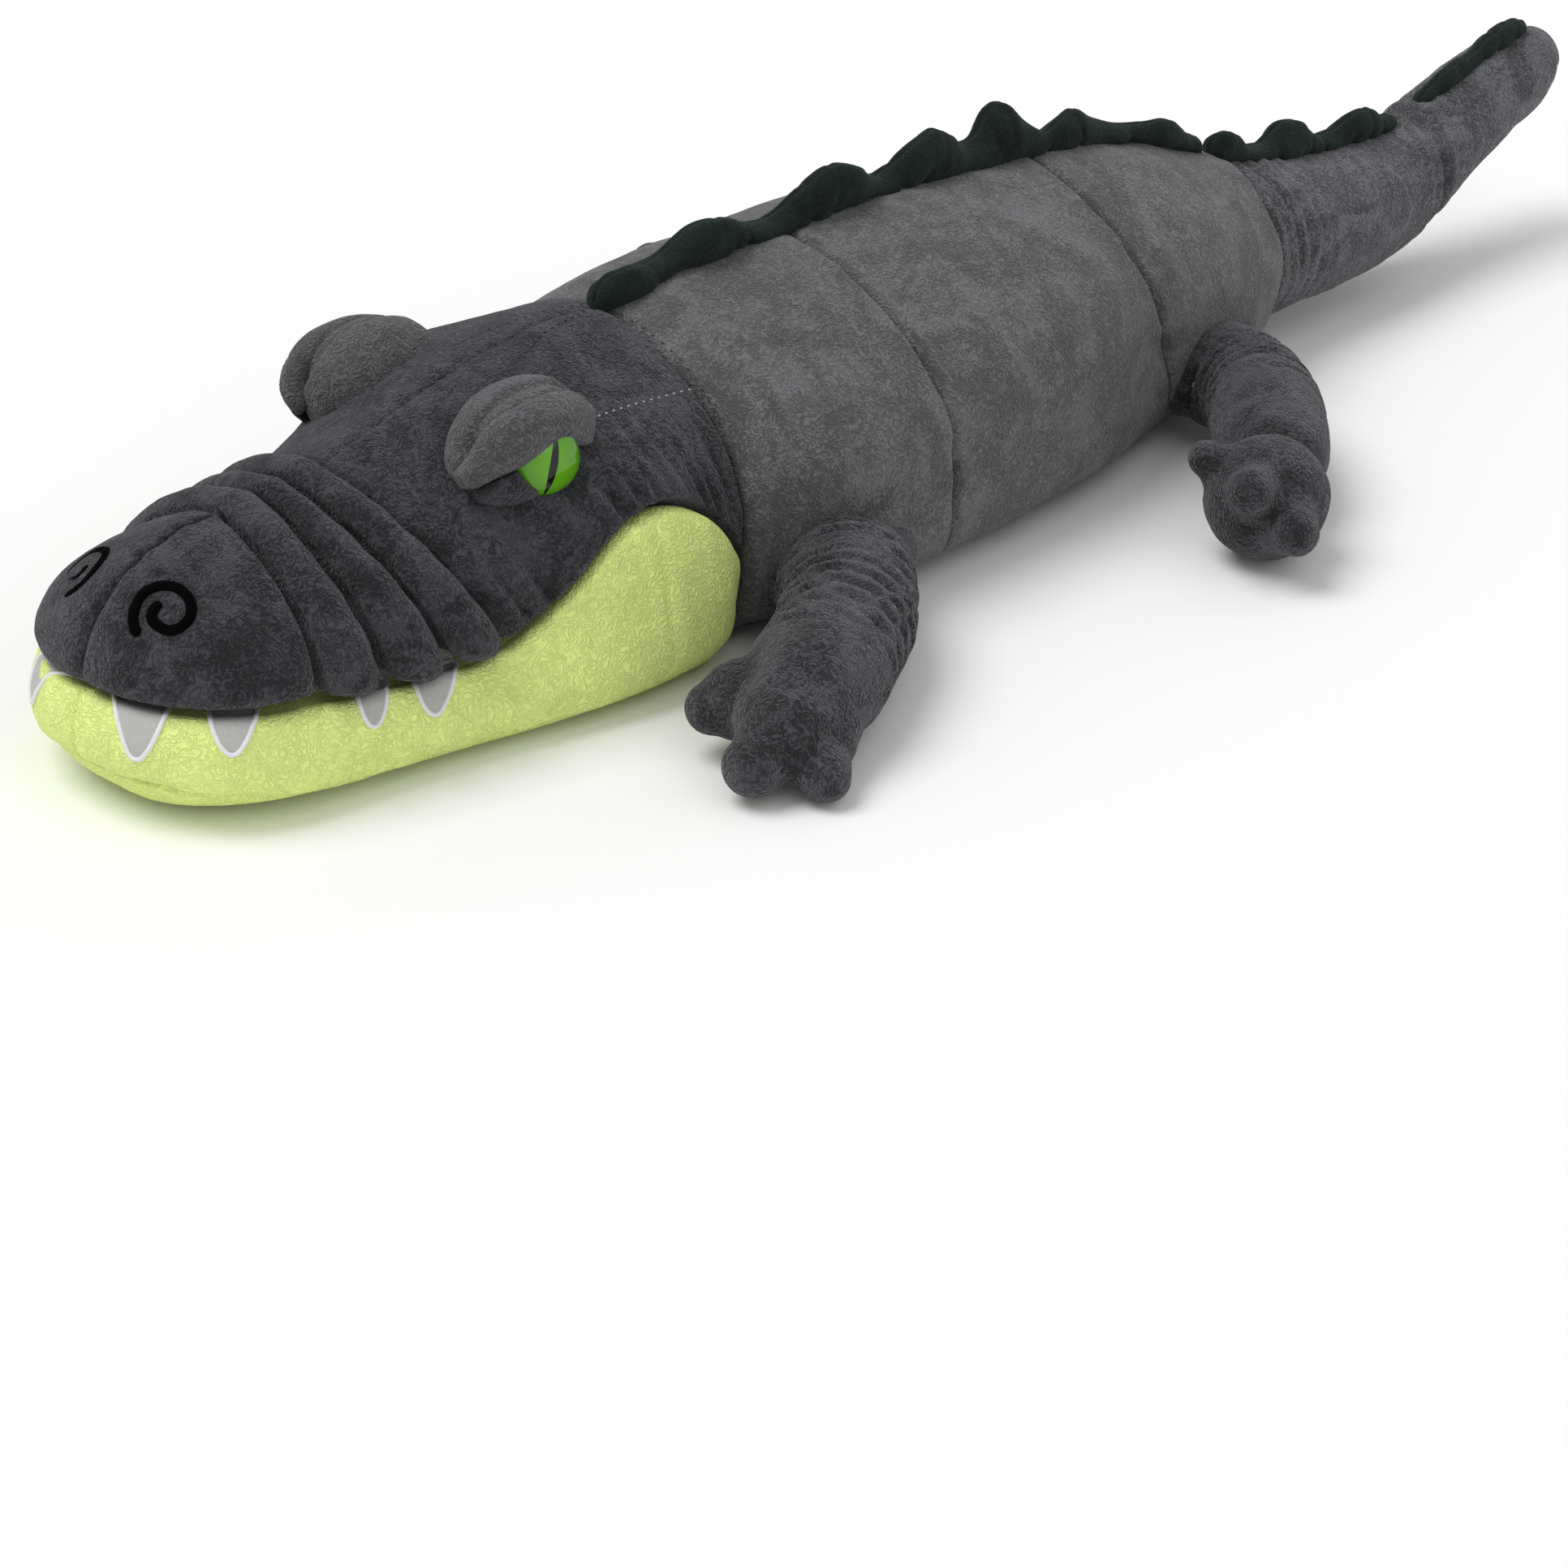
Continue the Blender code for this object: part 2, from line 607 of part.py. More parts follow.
NECK_Y = -NECK_FROM_ORIGIN
CHEST_END_Y = NECK_Y + CHEST_LENGTH
MIDDLE_END_Y = CHEST_END_Y + MIDDLE_LENGTH
HIP_END_Y = MIDDLE_END_Y + HIP_LENGTH
BODY_LENGTH = HIP_END_Y - NECK_Y
BELLY_Z = -FLOOR_CUT
TAIL_AXIS_Z = HIP_SHARES[-1][2] * BODY_HEIGHT - TAIL_BASE_RADIUS
NECK_HALF_WIDTH = CHEST_SHARES[0][1] * BODY_HALF_WIDTH
NECK_TOP = CHEST_SHARES[0][2] * BODY_HEIGHT


def body_ring(y, half_width, top, lean, bottom=BELLY_Z):
    ring = round_ring(half_width, top, bottom, BODY_SIDES, BACK_ROUNDNESS, BELLY_ROUNDNESS)
    middle = (top + bottom) / 2
    return [Vector((p.x, y + lean * (p.y - middle), p.y)) for p in ring]


def neck_half_width(z):
    """Half the width of the neck seam at one height, so that the head and the body meet."""
    middle, half = (NECK_TOP + BELLY_Z) / 2, (NECK_TOP - BELLY_Z) / 2
    rise = (z - middle) / half
    power = BACK_ROUNDNESS if rise > 0 else BELLY_ROUNDNESS
    return NECK_HALF_WIDTH * max(1 - abs(rise) ** power, 0) ** (1 / power)


def section_rows(start, length, shares, inset=GAP, last_ring=None):
    """Rings of one section of the body, drawn in at its seams and ending an inset short of them."""
    rows = []
    for index, (along, wide, high, lean) in enumerate(shares):
        first, last = index == 0, index == len(shares) - 1
        pinch = SEAM_PINCH if first or last else 0.0
        y = start + along * length + (inset if first else 0) - (inset if last else 0)
        bottom = BELLY_Z + (pinch / 2 if first or last else -BELLY_PRESS)
        rows.append(body_ring(y, wide * BODY_HALF_WIDTH - pinch, high * BODY_HEIGHT - pinch, lean, bottom))
    if last_ring:
        rows[-1] = last_ring
    return rows


def round_section(y, radius, z, sides):
    ring = round_ring(radius, z + radius, z - radius, sides)
    return [Vector((p.x, y, p.y)) for p in ring]


HIP_MOUTH = TAIL_BASE_RADIUS + JOINT_GAP + SKIN
hip_mouth_ring = round_section(HIP_END_Y, HIP_MOUTH, TAIL_AXIS_Z, BODY_SIDES)
SECTION_PLANS = (
    ("chest_section", NECK_Y, CHEST_LENGTH, CHEST_SHARES, None),
    ("middle_section", CHEST_END_Y, MIDDLE_LENGTH, MIDDLE_SHARES, None),
    ("hip_section", MIDDLE_END_Y, HIP_LENGTH, HIP_SHARES, hip_mouth_ring),
)
sections = []
section_seats = []
for name, start, length, shares, ring in SECTION_PLANS:
    sections.append(skin_panel(name, section_rows(start, length, shares, GAP, ring), "grey", around=True))
    wider = cage(section_rows(start, length, shares, -2 * GAP, ring), around=True)
    seat = smooth(add_cutter(name + "_seat", wider))
    section_seats.append(thicken(seat, SEAT_DEPTH, GAP))
chest, middle, hip = sections


# The head: crown halves, three snout rolls, nose halves, jaw halves and the chin panel

def arch(y_lip, y_top, half_width, lip, top, degrees, out=0.0):
    """Control points over the top of the head, from the left lip, at the given angles."""
    points = []
    for angle in degrees:
        turn = math.radians(angle)
        rise = math.sin(turn)
        across = math.copysign(abs(math.cos(turn)) ** SHOULDER_FALL, math.cos(turn))
        points.append(Vector(((half_width + out) * across, y_lip + (y_top - y_lip) * rise,
                              lip + (top + out - lip) * rise)))
    return points


def half_rows(rows, side):
    """Rows that end on the plane of symmetry, moved to one side of it and drawn in at the seam."""
    moved = []
    for row in rows:
        points = [Vector((side * p.x, p.y, p.z)) for p in row]
        points[-1] = Vector((side * GAP, points[-1].y, points[-1].z))
        moved.append(points)
    return moved


HALF_ARCH_DEGREES = (0, 22, 45, 68, 90)
FULL_ARCH_DEGREES = (0, 26, 52, 90, 128, 154, 180)
CENTRE_PINCH = SEAM_PINCH / 2


def neck_arch(lip):
    """The crown's edge at the neck, on the same outline as the body's."""
    points = []
    for angle in HALF_ARCH_DEGREES:
        z = lip + (NECK_TOP - lip) * math.sin(math.radians(angle))
        across = neck_half_width(z) if angle < 90 else 0
        points.append(Vector((max(across - SEAM_PINCH, 0), NECK_Y - GAP, z - SEAM_PINCH * (angle / 90))))
    return points


def crown_half(name, side):
    rows = [neck_arch(CROWN_SHARES[0][3] * HEAD_HEIGHT)]
    for index, (lip_share, top_share, wide, lip, top) in enumerate(CROWN_SHARES[1:], 1):
        last = index == len(CROWN_SHARES) - 1
        pinch = SEAM_PINCH if last else 0.0
        row = arch(head_y(lip_share) + (GAP if last else 0), head_y(top_share) + (GAP if last else 0),
                   wide * HEAD_HALF_WIDTH - pinch, lip * HEAD_HEIGHT, top * HEAD_HEIGHT - pinch,
                   HALF_ARCH_DEGREES)
        row[-1].z -= CENTRE_PINCH
        rows.append(row)
    return skin_panel(name, half_rows(rows, side), "charcoal", inside=Vector((0, head_y(0.25), 0)))


def snout_roll(name, index):
    """One puffed roll between two seams, from lip to lip."""
    rows = []
    for share in ROLL_STEP_SHARES:
        front, back = ROLL_SHARES[index], ROLL_SHARES[index + 1]
        wide, lip, top = (a + (b - a) * share for a, b in zip(front, back))
        ends = share in (0.0, 1.0)
        shift = GAP if share == 0.0 else (-GAP if share == 1.0 else 0)
        lip_share = ROLL_SEAM_LIP_SHARES[index] * (1 - share) + ROLL_SEAM_LIP_SHARES[index + 1] * share
        top_share = ROLL_SEAM_TOP_SHARES[index] * (1 - share) + ROLL_SEAM_TOP_SHARES[index + 1] * share
        out = -SEAM_PINCH if ends else ROLL_PUFF
        rows.append(arch(head_y(lip_share) + shift, head_y(top_share) + shift, wide * HEAD_HALF_WIDTH,
                         lip * HEAD_HEIGHT, top * HEAD_HEIGHT, FULL_ARCH_DEGREES, out))
    return skin_panel(name, rows, "charcoal", inside=Vector((0, head_y(0.6), 0)))


NOSE_SEAM_Y = head_y(ROLL_SEAM_LIP_SHARES[0])
NOSE_POLE_Y = head_y(ROLL_SEAM_TOP_SHARES[0])


def nose_lip_place(degrees, half_width, length, seam_y):
    """A place on the blunt outline of the nose, seen from above, from its side seam to its tip."""
    turn = math.radians(degrees)
    power = 2 / NOSE_BLUNTNESS
    return Vector((half_width * math.cos(turn) ** power if degrees < 90 else 0,
                   seam_y - length * math.sin(turn) ** power, 0))


def nose_half(name, side):
    """Half of the nose: meridians from the lip up to the seam with the first roll."""
    lip_z, top_z = NOSE_LIP_SHARE * HEAD_HEIGHT, NOSE_TOP_SHARE * HEAD_HEIGHT - SEAM_PINCH
    rows = []
    for turn in NOSE_TURN_DEGREES:
        foot = nose_lip_place(turn, SNOUT_HALF_WIDTH + LIP_OVERHANG - (SEAM_PINCH if turn == 0 else 0),
                              NOSE_LENGTH, NOSE_SEAM_Y - GAP)
        row = []
        for rise in NOSE_RISE_DEGREES:
            up, back = math.sin(math.radians(rise)), math.cos(math.radians(rise))
            across = back ** NOSE_FALL if rise < 90 else 0
            y = NOSE_POLE_Y - GAP + (foot.y - NOSE_POLE_Y + GAP) * back
            if turn == 0:
                y = foot.y + (NOSE_POLE_Y - GAP - foot.y) * up
            inward = CENTRE_PINCH if turn == 90 else 0
            row.append(Vector((foot.x * across, y + inward * back, lip_z + (top_z - lip_z) * up - inward * up)))
        row[-1] = Vector((0, NOSE_POLE_Y - GAP, top_z))
        rows.append([Vector((side * max(p.x, GAP), p.y, p.z)) for p in row])
    return skin_panel(name, rows, "charcoal", inside=Vector((0, NOSE_POLE_Y, lip_z)))


def jaw_sections():
    """Sections of the left jaw side from the neck round to the front, each from lip to chin seam."""
    rows = [[Vector((neck_half_width(high * HEAD_HEIGHT) - SEAM_PINCH, NECK_Y - GAP, high * HEAD_HEIGHT))
             for high in NECK_JAW_SHARES]]
    for shares in JAW_SHARES:
        along, widths, heights = shares[0], shares[1::2], shares[2::2]
        rows.append([Vector((wide * HEAD_HALF_WIDTH, head_y(along), high * HEAD_HEIGHT))
                     for wide, high in zip(widths, heights)])
    side = rows[-1]
    lip_lift = NOSE_LIP_SHARE * HEAD_HEIGHT - JAW_LIP_DROP - side[0].z
    lifts = (lip_lift, JAW_LIFT_SHARE * CHIN_RISE, JAW_LIFT_SHARE * CHIN_RISE, CHIN_RISE)
    for turn in NOSE_TURN_DEGREES[1:]:
        share = math.sin(math.radians(turn))
        row = []
        for place, proud, lift in zip(side, JAW_PROUD_SHARES, lifts):
            spot = nose_lip_place(turn, place.x, NOSE_LENGTH - LIP_OVERHANG / 2, side[0].y)
            row.append(Vector((spot.x, spot.y - proud * JAW_FRONT_PUFF * share, place.z + share * lift)))
        rows.append(row)
    return rows


def jaw_half(name, side):
    rows = []
    found = jaw_sections()
    for index, row in enumerate(found):
        points = [Vector((side * p.x, p.y, p.z)) for p in row]
        if index == len(found) - 1:
            points = [Vector((side * GAP, p.y + CENTRE_PINCH, p.z)) for p in row]
        points[-1].z += 2 * GAP
        rows.append(points)
    return skin_panel(name, rows, "lime", inside=Vector((0, head_y(0.4), 0.3 * HEAD_HEIGHT)))


def chin_rows(beyond=0.0):
    """Rows of the panel under the jaw, between the two chin seams or a little past them."""
    rows = []
    for row in jaw_sections():
        seam = row[-1]
        outward = Vector((seam.x, min(seam.y - NOSE_SEAM_Y, 0), 0)).normalized() * beyond
        edge = seam - Vector((0, 0, GAP))
        low = min(BELLY_Z, edge.z) if seam.x > GAP else edge.z
        points = []
        for share in CHIN_COLUMN_SHARES:
            is_edge = abs(share) == 1.0
            out = outward if is_edge else Vector()
            points.append(Vector(((edge.x + out.x) * share, edge.y + out.y, edge.z if is_edge else low)))
        rows.append(points)
    return rows


def keep_side(part, side):
    """Trims a half panel flat along its seam on the plane of symmetry."""
    low, high = ((-1, -1, -1), (GAP / 2, 1, 1)) if side > 0 else ((-GAP / 2, -1, -1), (1, 1, 1))
    return cut(part, add_cutter(part.name + "_seam_plane", box_mesh(low, high)))


crown_left = keep_side(crown_half("crown_left", 1), 1)
crown_right = keep_side(crown_half("crown_right", -1), -1)
rolls = [snout_roll(name, index) for index, name in enumerate(
    ("snout_roll_front", "snout_roll_middle", "snout_roll_rear"))]
nose_left = keep_side(nose_half("nose_left", 1), 1)
nose_right = keep_side(nose_half("nose_right", -1), -1)
jaw_left = keep_side(jaw_half("jaw_left", 1), 1)
jaw_right = keep_side(jaw_half("jaw_right", -1), -1)
CHIN_INSIDE = Vector((0, head_y(0.4), HEAD_HEIGHT / 2))
chin = cut(skin_panel("chin_panel", chin_rows(), "lime", inside=CHIN_INSIDE), FLOOR)
wide_chin = smooth(add_cutter("chin_wide_seat", cage(chin_rows(2 * GAP), inside=CHIN_INSIDE)))
chin_seat = thicken(wide_chin, SKIN + 3 * GAP, 3 * GAP)
roll_seats = [seat_cutter(roll, 2 * GAP, SKIN + 2 * GAP) for roll in rolls]
for crown, jaw in ((crown_left, jaw_left), (crown_right, jaw_right)):
    cut(jaw, chin_seat)
    cut(jaw, seat_cutter(crown, GAP, SKIN + GAP))
    cut(crown, roll_seats[2])
    for seat in roll_seats:
        cut(jaw, seat)
HEAD_SKINS = [crown_left, crown_right, nose_left, nose_right, jaw_left, jaw_right, chin] + rolls


# The tail: a root that flexes in the hip's open end, and a tip that flexes in the tail's open end

def turned_ring(centre, half_width, half_height, heading, sides):
    """A ring across a level direction, given as an angle from +X."""
    turn = math.radians(heading)
    across = Vector((math.sin(turn), -math.cos(turn), 0))
    ring = round_ring(half_width, half_height, -half_height, sides)
    return [centre + across * p.x + Vector((0, 0, p.y)) for p in ring]


def ball_rows(pivot, radius, half_height, heading, sides, inset=0.0, share=1.0, flatness=2):
    """Rings of a ball or a rounded disc, from inside the neighbour out to where the limb leaves it."""
    direction = Vector((math.cos(math.radians(heading)), math.sin(math.radians(heading)), 0))
    rows = []
    for degrees in BALL_DEGREES:
        turn = math.radians(degrees)
        wide = (radius * math.cos(turn) - inset) * share
        high = (half_height * (1 - abs(math.sin(turn)) ** flatness) ** (1 / flatness) - inset) * share
        rows.append(turned_ring(pivot + direction * radius * math.sin(turn), wide, high, heading, sides))
    return rows


def tail_rows(pivot, length, shares, sides):
    rows = []
    for along, radius_share, rise_share in shares:
        centre = pivot + Vector((0, along * length, rise_share * TAIL_RISE))
        radius = radius_share * TAIL_BASE_RADIUS
        rows.append(turned_ring(centre, radius, radius, 90, sides))
    return rows


TAIL_PIVOT = Vector((0, HIP_END_Y, TAIL_AXIS_Z))
TIP_RADIUS = TAIL_END_RADIUS_SHARE * TAIL_BASE_RADIUS
TIP_PIVOT = TAIL_PIVOT + Vector((0, TAIL_LENGTH, TAIL_MID_RISE_SHARE * TAIL_RISE))
TIP_END = TIP_PIVOT + Vector((0, TAIL_TIP_LENGTH, TAIL_TIP_SHARES[-1][2] * TAIL_RISE))
TAIL_BALL = TAIL_BASE_RADIUS * BALL_FULLNESS_SHARE
TIP_BALL = TIP_RADIUS * BALL_FULLNESS_SHARE
tail_all = ball_rows(TAIL_PIVOT, TAIL_BALL, TAIL_BALL, 90, TAIL_SIDES)
tail_all += tail_rows(TAIL_PIVOT, TAIL_LENGTH, TAIL_SHARES, TAIL_SIDES)
TIP_MOUTH = TIP_RADIUS + JOINT_GAP + SKIN
tail_all.append(turned_ring(TIP_PIVOT, TIP_MOUTH, TIP_MOUTH, 90, TAIL_SIDES))
tail = skin_panel("tail_root", tail_all, "tail_grey", around=True, pivot=TAIL_PIVOT)
tip_all = ball_rows(TIP_PIVOT, TIP_BALL, TIP_BALL, 90, TAIL_SIDES)
tip_all += tail_rows(TIP_PIVOT, TAIL_TIP_LENGTH, TAIL_TIP_SHARES, TAIL_SIDES)
tip = add_object("tail_tip", cage(tip_all, around=True, close_last=True), "tail_grey", TIP_PIVOT)
thicken(smooth(tip), SKIN)


# The legs: a flattened ball at the root, the leg, and a foot with three toes

def leg_rows(root, radius, half_height, heading, shares, sizes, sides=LEG_SIDES, inset=0.0, share=1.0):
    reach, stride, leg_half_width, leg_half_height = sizes
    rows = ball_rows(root, radius, half_height, heading, sides, inset, share, ROOT_FLATNESS)
    for out, forward, high, wide, tall, way in shares:
        centre = Vector((root.x + out * reach, root.y - forward * stride, high * leg_half_height))
        rows.append(turned_ring(centre, (wide * leg_half_width - inset) * share,
                                (tall * leg_half_height - inset) * share, way, sides))
    return rows


def disc_mesh(radius, half_height, segments, rings, place):
    """A rounded disc, turned about a vertical axis, for the room that a leg's root turns in."""
    shape = bmesh.new()
    bmesh.ops.create_uvsphere(shape, u_segments=segments, v_segments=rings, radius=1)
    for vertex in shape.verts:
        out, up = math.hypot(vertex.co.x, vertex.co.y), vertex.co.z
        wide = (out ** (2 / ROOT_FLATNESS)) / out * radius if out > WELD else 0
        high = math.copysign(abs(up) ** (2 / ROOT_FLATNESS), up) * half_height
        vertex.co = Vector((vertex.co.x * wide, vertex.co.y * wide, high)) + Vector(place)
    mesh = bpy.data.meshes.new("disc")
    shape.to_mesh(mesh)
    shape.free()
    mesh.shade_smooth()
    return mesh


def toe_mesh(base, point):
    """A toe grown from inside the foot to its rounded point."""
    along = point - base
    half_length = (1 - TOE_CENTRE_SHARE) * along.length + TOE_BALL_RADIUS
    turn = along.to_track_quat("X", "Z").to_matrix().to_4x4()
    return ellipsoid_mesh((half_length, TOE_RADIUS, TOE_RADIUS), 8, 6, turn, base + along * TOE_CENTRE_SHARE)


def unsmoothed_share(sides):
    """What a ring's sizes are multiplied by so that its own corners, and no smooth curve, have them."""
    return (2 + math.cos(2 * math.pi / sides)) / 3


def mirrored(rows, side):
    return [[Vector((side * p.x, p.y, p.z)) for p in row] for row in rows]


FRONT_ROOT = (FRONT_ROOT_SHARES, FRONT_ROOT_RADIUS, FRONT_ROOT_HALF_HEIGHT)
REAR_ROOT = (REAR_ROOT_SHARES, REAR_ROOT_RADIUS, REAR_ROOT_HALF_HEIGHT)
FRONT_SIZES = (FRONT_LEG_REACH, FRONT_LEG_STRIDE, FRONT_LEG_HALF_WIDTH, FRONT_LEG_HALF_HEIGHT)
REAR_SIZES = (REAR_LEG_REACH, REAR_LEG_STRIDE, REAR_LEG_HALF_WIDTH, REAR_LEG_HALF_HEIGHT)
LEG_PLANS = (
    ("front_leg_left", 1, FRONT_ROOT, FRONT_ROOT_HEADING, FRONT_LEG_SHARES, FRONT_SIZES, FRONT_TOE_SHARES),
    ("front_leg_right", -1, FRONT_ROOT, SWEPT_ROOT_HEADING, SWEPT_LEG_SHARES, FRONT_SIZES, SWEPT_TOE_SHARES),
    ("rear_leg_left", 1, REAR_ROOT, REAR_ROOT_HEADING, REAR_LEG_SHARES, REAR_SIZES, REAR_TOE_SHARES),
    ("rear_leg_right", -1, REAR_ROOT, REAR_ROOT_HEADING, REAR_LEG_SHARES, REAR_SIZES, REAR_TOE_SHARES),
)
sockets = []
fill_sockets = []
for name, side, (spot, radius, half_height), heading, shares, sizes, toes in LEG_PLANS:
    root = Vector((spot[1] * BODY_HALF_WIDTH, NECK_Y + spot[0] * BODY_LENGTH, spot[2] * BODY_HEIGHT))
    outer = leg_rows(root, radius, half_height, heading, shares, sizes)
    inner = leg_rows(root, radius, half_height, heading, shares[:-HOLLOW_SHORT_COUNT], sizes, STUFFING_LEG_SIDES,
                     SKIN, unsmoothed_share(STUFFING_LEG_SIDES))
    back = OVERRUN * Vector((math.cos(math.radians(heading)), math.sin(math.radians(heading)), 0))
    inner.insert(0, [p - back for p in inner[0]])
    fill = leg_rows(root, radius, half_height, heading, shares[:-HOLLOW_SHORT_COUNT], sizes, STUFFING_LEG_SIDES,
                    SKIN + LEG_STUFFING_INSET, unsmoothed_share(STUFFING_LEG_SIDES))
    fill[-1] = [p.lerp(sum(fill[-2], Vector()) / len(fill[-2]), FILL_END_SHARE) for p in fill[-1]]
    toe_places = [Vector((root.x + out * sizes[0], root.y - forward * sizes[1], high * sizes[3]))
                  for out, forward, high in toes]
    pivot = Vector((side * root.x, root.y, root.z))
    leg = facet(smooth(add_object(name, cage(mirrored(outer, side), True, True, True), "leg_grey", pivot)))
    for number, toe in enumerate(toe_places[1:], 1):
        ends = [Vector((side * p.x, p.y, p.z)) for p in (toe_places[0], toe)]
        cut(leg, add_cutter("{}_toe_{}".format(name, number), toe_mesh(*ends)), "UNION")
    cut(leg, facet(add_cutter(name + "_hollow", cage(mirrored(inner, side), True, True, True))))
    cut(leg, FLOOR)
    wide, high = radius + JOINT_GAP, half_height + JOINT_GAP
    sockets.append(facet(add_cutter(name + "_socket", disc_mesh(wide, high, 24, 12, pivot))))
    wide, high = wide + 2 * JOINT_GAP, high + 2 * JOINT_GAP
    fill_sockets.append(facet(add_cutter(name + "_fill_socket", disc_mesh(wide, high, 12, 8, pivot))))
    facet(add_object(name + "_stuffing", cage(mirrored(fill, side), True, True, True), "stuffing_white", pivot))


# The stuffing inside each skin, cast before the sockets open the body's sides

HEAD_FILL_START = Vector((0, head_y(HEAD_FILL_SHARES[0]), HEAD_FILL_SHARES[1] * HEAD_HEIGHT))
HEAD_FILL_END = Vector((0, head_y(HEAD_FILL_SHARES[2]), HEAD_FILL_SHARES[3] * HEAD_HEIGHT))
head_fill = stuffing("head_stuffing", HEAD_SKINS, HEAD_FILL_START, HEAD_FILL_END, 12,
                     shift=NOSE_LENGTH / 8, inset=HEAD_STUFFING_INSET)
head_core = facet(add_cutter("head_core", head_fill.data.copy()))
body_fill = stuffing("body_stuffing", sections, (0, NECK_Y + 3 * GAP, NECK_TOP / 2),
                     (0, HIP_END_Y - TAIL_BASE_RADIUS - JOINT_GAP, TAIL_AXIS_Z), 12, shift=SEAT_DEPTH)
BALL_DEPTH = math.sin(math.radians(-BALL_DEGREES[0]))
behind = Vector((0, TAIL_BASE_RADIUS * BALL_DEPTH - 2 * GAP, 0))
ahead = Vector((0, TIP_RADIUS + JOINT_GAP, 0))
stuffing("tail_stuffing", [tail], TAIL_PIVOT - behind, TIP_PIVOT - ahead, 8, TAIL_PIVOT, GAP)
behind = Vector((0, TIP_RADIUS * BALL_DEPTH - 2 * GAP, 0))
ahead = Vector((0, TIP_RADIUS / 2, 0))
stuffing("tail_tip_stuffing", [tip], TIP_PIVOT - behind, TIP_END - ahead, 7, TIP_PIVOT, GAP)

for section in sections:
    for socket in sockets:
        cut(section, socket)
for socket in fill_sockets:
    cut(body_fill, socket)
for section in sections:
    cut(section, FLOOR)
cut(tail, FLOOR)


# The crest: a padded strip of rounded lobes sewn along the back, one on the tail and one on its tip

def crest(name, skins, seats, start, length, lobes, pivot=None):
    top = surface_of(skins)

    def back_height(y):
        """Height of the back over the plane of symmetry, taken beside a place as well, past any seam."""
        found = []
        for nudge in (-CREST_ROOT, 0, CREST_ROOT):
            place = top.ray_cast(Vector((GAP, y + nudge, 2 * BODY_HEIGHT)), Vector((0, 0, -1)))[0]
            if place is not None:
                found.append(place.z)
        return max(found)

    outline = []
    for first, last, high in lobes:
        for share in LOBE_STEP_SHARES:
            y = start + (first + (last - first) * share) * length
            rise = 1 - abs(2 * share - 1) ** LOBE_POINTEDNESS
            outline.append((y, back_height(y) + CREST_VALLEY + (high * CREST_HEIGHT - CREST_VALLEY) * rise))
    end = start + lobes[-1][1] * length
    outline.append((end, back_height(end) + CREST_VALLEY))
    under = [(y, back_height(y) - CREST_ROOT) for y, z in outline[::4]] + [(end, back_height(end) - CREST_ROOT)]
    made = add_object(name, outline_mesh(outline + under[::-1], CREST_THICKNESS), "crest_green", pivot)
    for seat in seats:
        cut(made, seat)
    edges = made.modifiers.new("rounded_edges", "BEVEL")
    edges.width = CREST_ROUNDING
    edges.segments = 1
    edges.limit_method = "ANGLE"
    made.modifiers.move(len(made.modifiers) - 1, 0)
    return made


tail_seat = seat_cutter(tail)
tip_seat = seat_cutter(tip)
crest("crest_back", sections, section_seats, NECK_Y, BODY_LENGTH, CREST_BACK_SHARES)
crest("crest_tail", [tail], [tail_seat], TAIL_PIVOT.y, TAIL_LENGTH, CREST_TAIL_SHARES, TAIL_PIVOT)
crest("crest_tail_tip", [tip], [tip_seat], TIP_PIVOT.y, TAIL_TIP_LENGTH, CREST_TIP_SHARES, TIP_PIVOT)


# The eyes: a mound on each side of the crown, two lids on it, and an eye held by a washer inside it

MOUND_HALVES = Vector((MOUND_HALF_THICKNESS, MOUND_HALF_LENGTH, MOUND_HALF_HEIGHT))


def lid(name, side, mound_at, table, radius, cutters):
    points = [mound_at + Vector((side * row[0] * MOUND_HALVES.x, row[1] * MOUND_HALVES.y, row[2] * MOUND_HALVES.z))
              for row in table]
    made = add_object(name, tube_mesh(points, [row[3] for row in table], radius), "charcoal")
    for cutter in cutters:
        cut(made, cutter)
    return made


